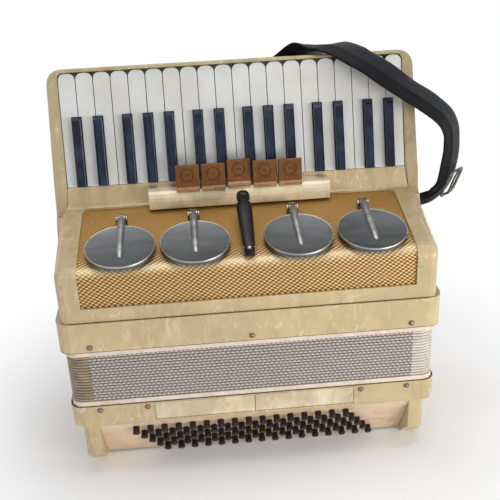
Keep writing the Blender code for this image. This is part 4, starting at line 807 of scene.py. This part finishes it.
def makeBellows():
    pitch = bellows["height"] / bellows["folds"]
    base = bellows["base"]
    plan = bellowsPlan(0.0, True)
    spots = [entry[2] for entry in plan]
    spots.append(spots[-1] + 0.1)
    made = []
    for fold in range(bellows["folds"]):
        low = base + fold * pitch
        profile = ((0.0040, low + 0.10 * pitch), (0.0012, low + 0.11 * pitch), (0.0003, low + 0.20 * pitch),
                   (0.0, low + 0.36 * pitch), (0.0, low + 0.62 * pitch), (0.0003, low + 0.78 * pitch),
                   (0.0012, low + 0.87 * pitch), (0.0040, low + 0.88 * pitch))
        # the tape's pattern runs over these heights, in millimetres
        heights = (0.2, 0.4, 0.8, 1.3, 2.2, 2.8, 3.2, 3.4)
        stagger = bellowsTape["dashMm"] * 0.5 * (fold % 2) + 0.35 * sin(fold * 2.3)
        rows = ringRows(profile, True)
        ridge = skinRows("bellowsRidge_%02d" % (fold + 1), rows, tape, ring=True, smooth=60,
                         mapping=lambda row, column: (1000 * spots[column] + stagger, heights[row]))
        ridge.data.materials.append(cornerShaded)
        ridge.data.materials.append(cornerLit)
        count = len(plan)
        # corner covers on the left take the darker copy and those on the right the lighter one: painted shade
        # and painted light
        for index, face in enumerate(ridge.data.polygons):
            column = index % count
            if plan[column][3] and plan[(column + 1) % count][3]:
                face.material_index = 1 if plan[column][0] < 0 else 2
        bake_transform(ridge)
        made.append(ridge)
    for gap in range(bellows["folds"] + 1):
        low = base + (gap - 0.14) * pitch if gap else base - 0.0002
        high = base + (gap + 0.12) * pitch if gap < bellows["folds"] else base + bellows["height"] + 0.0002
        middle = (low + high) / 2
        profile = ((bellows["pleatInset"], low), (bellows["depth"], middle), (bellows["pleatInset"], high))
        pleat = skinRows("bellowsPleat_%02d" % gap, ringRows(profile, False), pleatCard, ring=True)
        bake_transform(pleat)
        made.append(pleat)
    for piece in made:
        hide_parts("bellows")


makeBellows()
print("bellows made")


# dark felt rings between cases and frames, and round the foot of the cover, painted shade for the shadow
# lines in these gaps:
# half width, front, back, underside and top of each
shadeRings = {"beltShadeLine": (0.2147, 0.0003, 0.1917, 0.1714, 0.1722),
           "bassShadeLine": (0.2116, 0.0004, 0.1916, 0.0990, 0.0997),
           "coverShadeLine": (0.2094, 0.0016, 0.1900, 0.2082, 0.2090)}
shadeRingWidth = 0.0060


def makeShadeRings():
    for name, (half, low, high, bottom, top) in shadeRings.items():
        outer = roundedPlan(half, low, high, 0.0138)
        inner = roundedPlan(half - shadeRingWidth, low + shadeRingWidth, high - shadeRingWidth, 0.0080)
        profile = ((inner, bottom), (outer, bottom), (outer, top), (inner, top))
        rows = [[shift + Vector((x, y, z)) for x, y in plan] for plan, z in profile + (profile[0],)]
        # a dark ring standing in for the shadow line in the gap: painted shade
        ring = skinRows(name, rows, felt, ring=True)
        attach(ring, "bass" if name == "bassShadeLine" else "treble")


makeShadeRings()


# domed nails through the cases into the bellows frames
pins = {"radius": 0.0030, "rise": 0.0026, "beltZ": 0.1782, "beltX": (-0.180, 0.0, 0.180), "bassZ": 0.0937,
        "bassX": (-0.178, -0.1237, 0.1237, 0.178)}


def makePins():
    radius, rise = pins["radius"], pins["rise"]
    profile = [(radius * cos(pi / 2 * k / 6), 0.0003 + rise * sin(pi / 2 * k / 6)) for k in range(7)]
    profile = [(0.0, -0.0012), (radius * 1.12, -0.0010), (radius * 1.12, 0.0003)] + profile
    lines = (("treble", pins["beltZ"], pins["beltX"]), ("bass", pins["bassZ"], pins["bassX"]))
    for body, height, spots in lines:
        for index, x in enumerate(spots):
            for side, y, axis in (("front", 0.0, Vector((0, -1, 0))), ("back", caseDepth, Vector((0, 1, 0)))):
                name = "%sPin_%s_%d" % (body, side, index + 1)
                pin = turned(name, profile, shift + Vector((x, y, height)), axis, pinBrass, 24)
                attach(pin, body)


makePins()
print("packing and pins made")


# bass buttons on their board
buttons = {"columns": 16, "rows": 5, "pitch": 0.0165, "rowPitch": 0.01405, "first": 0.0125, "radius": 0.0043,
           "height": 0.0087, "sides": 20, "boardHalf": 0.1817, "boardLength": 0.0805, "boardThick": 0.0038}


def makeButtons():
    thick, length = buttons["boardThick"], buttons["boardLength"]
    outline = [(0.0004, 0.0), (length, 0.0), (length - 0.002, -thick), (0.0030, -thick)]
    rows = [[onBoard(along, off, side * buttons["boardHalf"]) for along, off in outline] for side in (-1, 1)]
    board = skinRows("bassButtonBoard", rows, boardPeach, ring=True, caps=True)
    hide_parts("bass_button_board")
    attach(board, "bass")
    slant = buttons["pitch"] / 2
    first = -((buttons["columns"] - 1) * buttons["pitch"] + (buttons["rows"] - 1) * slant) / 2
    radius, tall, sides = buttons["radius"], buttons["height"], buttons["sides"]
    profile = ((radius * 0.9, -0.0006), (radius * 0.92, tall * 0.72), (radius, tall * 0.76),
               (radius, tall - 0.0009), (radius - 0.0003, tall - 0.0003), (radius - 0.0009, tall),
               (radius * 0.45, tall + 0.0002), (0.0002, tall + 0.0003))
    for row in range(buttons["rows"]):
        work = bmesh.new()
        for column in range(buttons["columns"]):
            x = first + column * buttons["pitch"] + row * slant
            along = buttons["first"] + row * buttons["rowPitch"]
            rings = []
            for size, height in profile:
                turns = [2 * pi * k / sides for k in range(sides)]
                spots = [onBoard(along + size * sin(turn), height, x + size * cos(turn)) for turn in turns]
                rings.append([work.verts.new(spot) for spot in spots])
            for low, high in zip(rings, rings[1:]):
                for k in range(sides):
                    after = (k + 1) % sides
                    work.faces.new((low[k], low[after], high[after], high[k]))
            work.faces.new(rings[-1])
        bmesh.ops.recalc_face_normals(work, faces=work.faces)
        line = finishMesh("bassButtonRow_%d" % (row + 1), work, buttonBrown, 50)
        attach(line, "bass")


makeButtons()
print("bass buttons made")


# shoulder strap, from the right lug over the rim to the left lug:
# middle of the outer face, outward direction and width
strapRoute = (
    ((0.2223, 0.1680, 0.2540), (0.10, -0.95, -0.30), 0.018),
    ((0.2270, 0.1680, 0.2540), (0.10, -0.95, -0.30), 0.018),
    ((0.2320, 0.1680, 0.2540), (0.10, -0.95, -0.30), 0.018),
    ((0.2475, 0.1650, 0.2600), (0.45, -0.80, -0.40), 0.022),
    ((0.2600, 0.1595, 0.2780), (0.68, -0.66, -0.32), 0.034),
    ((0.2645, 0.1555, 0.3035), (0.75, -0.66, -0.10), 0.041),
    ((0.2655, 0.1525, 0.3325), (0.76, -0.62, 0.15), 0.041),
    ((0.2590, 0.1460, 0.3600), (0.62, -0.60, 0.50), 0.041),
    ((0.2390, 0.1380, 0.3845), (0.50, -0.50, 0.70), 0.041),
    ((0.2040, 0.1330, 0.4100), (0.35, -0.45, 0.82), 0.041),
    ((0.1740, 0.1390, 0.4312), (0.20, -0.45, 0.87), 0.041),
    ((0.1470, 0.1470, 0.4485), (0.08, -0.30, 0.95), 0.041),
    ((0.1260, 0.1680, 0.4563), (0.00, -0.08, 0.99), 0.041),
    ((0.1075, 0.1860, 0.4535), (-0.04, 0.36, 0.92), 0.041),
    ((0.0830, 0.2035, 0.4460), (-0.05, 0.82, 0.55), 0.041),
    ((0.0580, 0.2075, 0.4200), (0.0, 1.0, 0.10), 0.041),
    ((-0.0300, 0.2070, 0.3730), (0.0, 1.0, 0.0), 0.041),
    ((-0.1000, 0.2060, 0.3180), (0.0, 1.0, 0.0), 0.041),
    ((-0.1700, 0.2060, 0.2740), (0.0, 1.0, 0.0), 0.036),
    ((-0.2080, 0.2030, 0.2590), (-0.25, 0.95, 0.0), 0.024),
    ((-0.2235, 0.1880, 0.2540), (-1.0, 0.0, 0.0), 0.018),
    ((-0.2235, 0.1830, 0.2540), (-1.0, 0.0, 0.0), 0.018),
    ((-0.2235, 0.1773, 0.2540), (-1.0, 0.0, 0.0), 0.018))
strap = {"samples": 8, "thickness": 0.0075, "thickShare": 0.30, "shadedFaces": (9, 17)}


def strapFrames():
    # smooth curve through the route, with its direction, outward side and width at each step
    spots = [shift + Vector(entry[0]) for entry in strapRoute]
    outs = [Vector(entry[1]) for entry in strapRoute]
    count = len(spots)
    line = []
    for index in range(count - 1):
        before, start = spots[max(index - 1, 0)], spots[index]
        end, after = spots[index + 1], spots[min(index + 2, count - 1)]
        for step in range(strap["samples"]):
            t = step / strap["samples"]
            spot = 0.5 * (2 * start + (end - before) * t + (2 * before - 5 * start + 4 * end - after) * t * t
                          + (3 * start - before - 3 * end + after) * t ** 3)
            ease = t * t * (3 - 2 * t)
            line.append((spot, outs[index].lerp(outs[index + 1], ease),
                         strapRoute[index][2] + (strapRoute[index + 1][2] - strapRoute[index][2]) * ease))
    line.append((spots[-1], outs[-1], strapRoute[-1][2]))
    frames = []
    for index, (spot, out, width) in enumerate(line):
        ahead = (line[min(index + 1, len(line) - 1)][0] - line[max(index - 1, 0)][0]).normalized()
        out = (out - ahead * out.dot(ahead)).normalized()
        frames.append((spot, ahead, out, ahead.cross(out), width))
    return frames


def makeStrap():
    # crowned outer face, a crease towards its lower side, full edges and a flat back
    section = ((1.00, 0.62), (0.985, 0.36), (0.94, 0.14), (0.86, 0.03), (0.60, -0.03), (0.30, -0.05),
               (0.0, -0.05), (-0.20, -0.04), (-0.28, -0.05), (-0.33, 0.02), (-0.38, 0.12), (-0.70, 0.32),
               (-0.90, 0.48), (-0.985, 0.60), (-1.00, 0.72), (-0.97, 0.86), (-0.88, 0.97), (-0.60, 1.0),
               (0.0, 1.0), (0.60, 1.0), (0.88, 0.97), (0.97, 0.84))
    rows = []
    for spot, _, out, side, width in strapFrames():
        thick = min(strap["thickness"], width * strap["thickShare"])
        half = width / 2
        rows.append([spot + side * half * wide - out * thick * deep for wide, deep in section])
    pad = skinRows("shoulderStrapPad", rows, strapTop, ring=True, caps=True, smooth=70)
    # the side below the crease gets a darker copy of the leather: painted shade
    pad.data.materials.append(strapShadedSide)
    first, last = strap["shadedFaces"]
    for index, face in enumerate(pad.data.polygons):
        if first <= index % len(section) <= last:
            face.material_index = 1
    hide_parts("shoulder_strap")
    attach(pad, "treble")


makeStrap()


# buckle: bent round bar with a centre prong, lying on the strap's narrow end
buckle = {"station": 33, "halfWide": 0.0160, "halfLong": 0.0175, "corner": 0.005, "bar": 0.0017,
          "lift": 0.0034, "aside": 0.0070}


def makeBuckle():
    spot, ahead, out, side, _ = strapFrames()[buckle["station"]]
    long = buckle["halfLong"]
    plan = []
    for point in roundedPlan(buckle["halfWide"], -long, long, buckle["corner"], 5):
        plan.append(spot + side * (point[0] + buckle["aside"]) + ahead * point[1] + out * buckle["lift"])
    rows = []
    count = len(plan)
    turns = [2 * pi * k / 12 for k in range(12)]
    for index in range(count + 1):
        here = index % count
        forward = (plan[(here + 1) % count] - plan[here - 1]).normalized()
        outward = forward.cross(out)
        rows.append([plan[here] + buckle["bar"] * (outward * cos(turn) + out * sin(turn)) for turn in turns])
    loop = skinRows("buckleLoop", rows, buckleSteel, ring=True, smooth=60)
    # share of the half length, height over the strap and radius of the prong
    stations = ((-1.0, 0.0030, 0.0012), (-0.96, 0.0042, 0.0014), (-0.5, 0.0040, 0.0013),
                (0.3, 0.0034, 0.0013), (0.9, 0.0040, 0.0012), (1.25, 0.0046, 0.0009), (1.32, 0.0047, 0.0003))
    turns = [2 * pi * k / 10 for k in range(10)]
    tongue = []
    for share, lift, radius in stations:
        centre = spot + side * buckle["aside"] + ahead * long * share + out * (lift + 0.0012)
        tongue.append([centre + radius * (side * cos(turn) + out * sin(turn)) for turn in turns])
    prong = skinRows("buckleProng", tongue, buckleSteel, ring=True, caps=True, smooth=60)
    for piece in (loop, prong):
        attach(piece, "treble")
    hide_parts("strap_buckle")


makeBuckle()


# hand strap of the bass side: flat leather arched below the box
handStrap = {"half": 0.160, "width": 0.070, "thick": 0.0036, "drop": 0.0058, "end": 0.018, "rise": 0.045,
             "steps": 60}


def makeHandStrap():
    low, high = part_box("bass_hand_strap")
    middle = (low[1] + high[1]) / 2
    wideHalf, thick, steps = handStrap["width"] / 2, handStrap["thick"], handStrap["steps"]
    # rounded edges with a stitching groove along both faces
    section = ((1.0, 0.5), (0.99, 0.15), (0.96, 0.0), (0.93, 0.06), (0.90, 0.0), (0.0, -0.04),
               (-0.90, 0.0), (-0.93, 0.06), (-0.96, 0.0), (-0.99, 0.15), (-1.0, 0.5), (-0.99, 0.85),
               (-0.96, 1.0), (-0.93, 0.94), (-0.90, 1.0), (0.0, 1.0), (0.90, 1.0), (0.93, 0.94),
               (0.96, 1.0), (0.99, 0.85))
    rows = []
    for step in range(steps + 1):
        x = shift.x - handStrap["half"] + 2 * handStrap["half"] * step / steps
        inward = handStrap["half"] - abs(x - shift.x) - handStrap["end"]
        flat = min(1.0, max(0.0, inward / handStrap["rise"]))
        top = high[2] - handStrap["drop"] * flat * flat * (3 - 2 * flat)
        rows.append([Vector((x, middle + wideHalf * wide, top - thick * deep)) for wide, deep in section])
    band = skinRows("bassHandStrap", rows, strapTab, ring=True, caps=True, smooth=60)
    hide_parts("bass_hand_strap")
    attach(band, "bass")


makeHandStrap()
print("straps made")


# the photograph's view: solved angles, distance and the small offset of its aim
cameraSet = {"yaw": -3.74, "rise": 26.0, "roll": -2.49, "distance": 0.95263, "aim": (-0.00259, 0.09514),
             "lens": 61.58, "sensor": 36, "height": 0.178}


def placeCamera():
    yaw, rise, roll = (radians(cameraSet[name]) for name in ("yaw", "rise", "roll"))
    back = Vector((sin(yaw) * cos(rise), -cos(yaw) * cos(rise), sin(rise)))
    level = Vector((0, 0, 1)).cross(back).normalized()
    right = cos(roll) * level + sin(roll) * back.cross(level)
    up = back.cross(right)
    eye = back * cameraSet["distance"] + right * cameraSet["aim"][0] + up * cameraSet["aim"][1]
    data = bpy.data.cameras.new("photoCamera")
    data.lens = cameraSet["lens"]
    data.sensor_width = cameraSet["sensor"]
    camera = bpy.data.objects.new("photoCamera", data)
    bpy.context.scene.collection.objects.link(camera)
    turn = Matrix((right, up, back)).transposed().to_4x4()
    camera.matrix_world = Matrix.Translation(eye + shift + Vector((0, 0, cameraSet["height"]))) @ turn
    bpy.context.scene.camera = camera


# white paper floor: near the instrument it takes its shadow, further out it runs into the white backdrop
floorSet = {"half": 3.0, "fadeStart": 0.27, "fadeEnd": 0.50, "boost": 0.1}


def makeFloor():
    half = floorSet["half"]
    work = bmesh.new()
    bmesh.ops.create_grid(work, x_segments=8, y_segments=8, size=half)
    floor = finishMesh("studioFloor", work, pearl)
    made, tree, place, shader = startMaterial("paperSweepWhite")
    grain = addNoise(tree, place, 0.02, 1.0)
    paper = addMix(tree, grain, "#F6F6F6", "#FAFAFA")
    addNode(tree, shader, {"Base Color": paper, "Roughness": 0.9, "Specular IOR Level": 0.1})
    seen = addNode(tree, "LightPath")
    boost = addNode(tree, "Emission", {"Color": "#FFFFFF", "Strength": floorSet["boost"]})
    lifted = addNode(tree, "AddShader", {0: shader.outputs[0], 1: boost})
    flat = stretch(tree, place, (0.001, 0.001, 0.0))
    reach = addNode(tree, "VectorMath", {0: flat}, operation="LENGTH").outputs["Value"]
    fade = addRange(tree, reach, floorSet["fadeStart"], floorSet["fadeEnd"])
    fade.interpolation_type = "SMOOTHSTEP"
    white = addNode(tree, "Emission", {"Color": "#FFFFFF", "Strength": 1.0})
    direct = addMath(tree, "MAXIMUM", seen.outputs["Is Camera Ray"], seen.outputs["Is Glossy Ray"])
    mixed = addNode(tree, "MixShader", {0: fade, 1: lifted, 2: white})
    plain = addNode(tree, "MixShader", {0: direct, 1: shader.outputs[0], 2: mixed})
    addNode(tree, tree.nodes["Material Output"], {"Surface": plain})
    floor.data.materials[0] = made


# name, place, size, watts and colour of each lamp; all of them face the instrument's middle
lampAim = (0, 0, 0.22)
lamps = (("windowLamp", (0.95, -1.05, 0.24), (0.9, 0.36), 10.0, "#FFFBF4"),
         ("fillLamp", (-1.5, -1.3, 1.2), (1.5, 1.5), 3.0, "#F6F8FF"),
         ("topLamp", (0.1, 0.1, 2.2), (1.6, 0.9), 19.0, "#FAFAFC"))
skyGlow = {"colour": "#F2F5FA", "strength": 0.45}


def makeLights():
    for name, spot, size, power, colour in lamps:
        data = bpy.data.lights.new(name, "AREA")
        data.shape = "RECTANGLE"
        data.size, data.size_y = size
        data.energy = power
        data.color = toLinear(colour)[:3]
        lamp = bpy.data.objects.new(name, data)
        bpy.context.scene.collection.objects.link(lamp)
        lamp.location = spot
        lamp.rotation_euler = (Vector(spot) - Vector(lampAim)).to_track_quat("Z", "Y").to_euler()
    world = bpy.data.worlds.new("paleStudio")
    bpy.context.scene.world = world
    world.use_nodes = True
    tree = world.node_tree
    tree.nodes.clear()
    seen = addNode(tree, "LightPath")
    sight = addMath(tree, "MAXIMUM", seen.outputs["Is Camera Ray"], seen.outputs["Is Glossy Ray"])
    direct = addMath(tree, "MAXIMUM", sight, seen.outputs["Is Transmission Ray"])
    light = addNode(tree, "Background", {"Color": skyGlow["colour"], "Strength": skyGlow["strength"]})
    shown = addNode(tree, "Background", {"Color": "#FFFFFF", "Strength": 1.0})
    mixed = addNode(tree, "MixShader", {0: direct, 1: light, 2: shown})
    addNode(tree, "OutputWorld", {"Surface": mixed})
    bpy.context.scene.view_settings.view_transform = "Standard"


placeCamera()
makeFloor()
makeLights()
print("camera, floor and light placed")
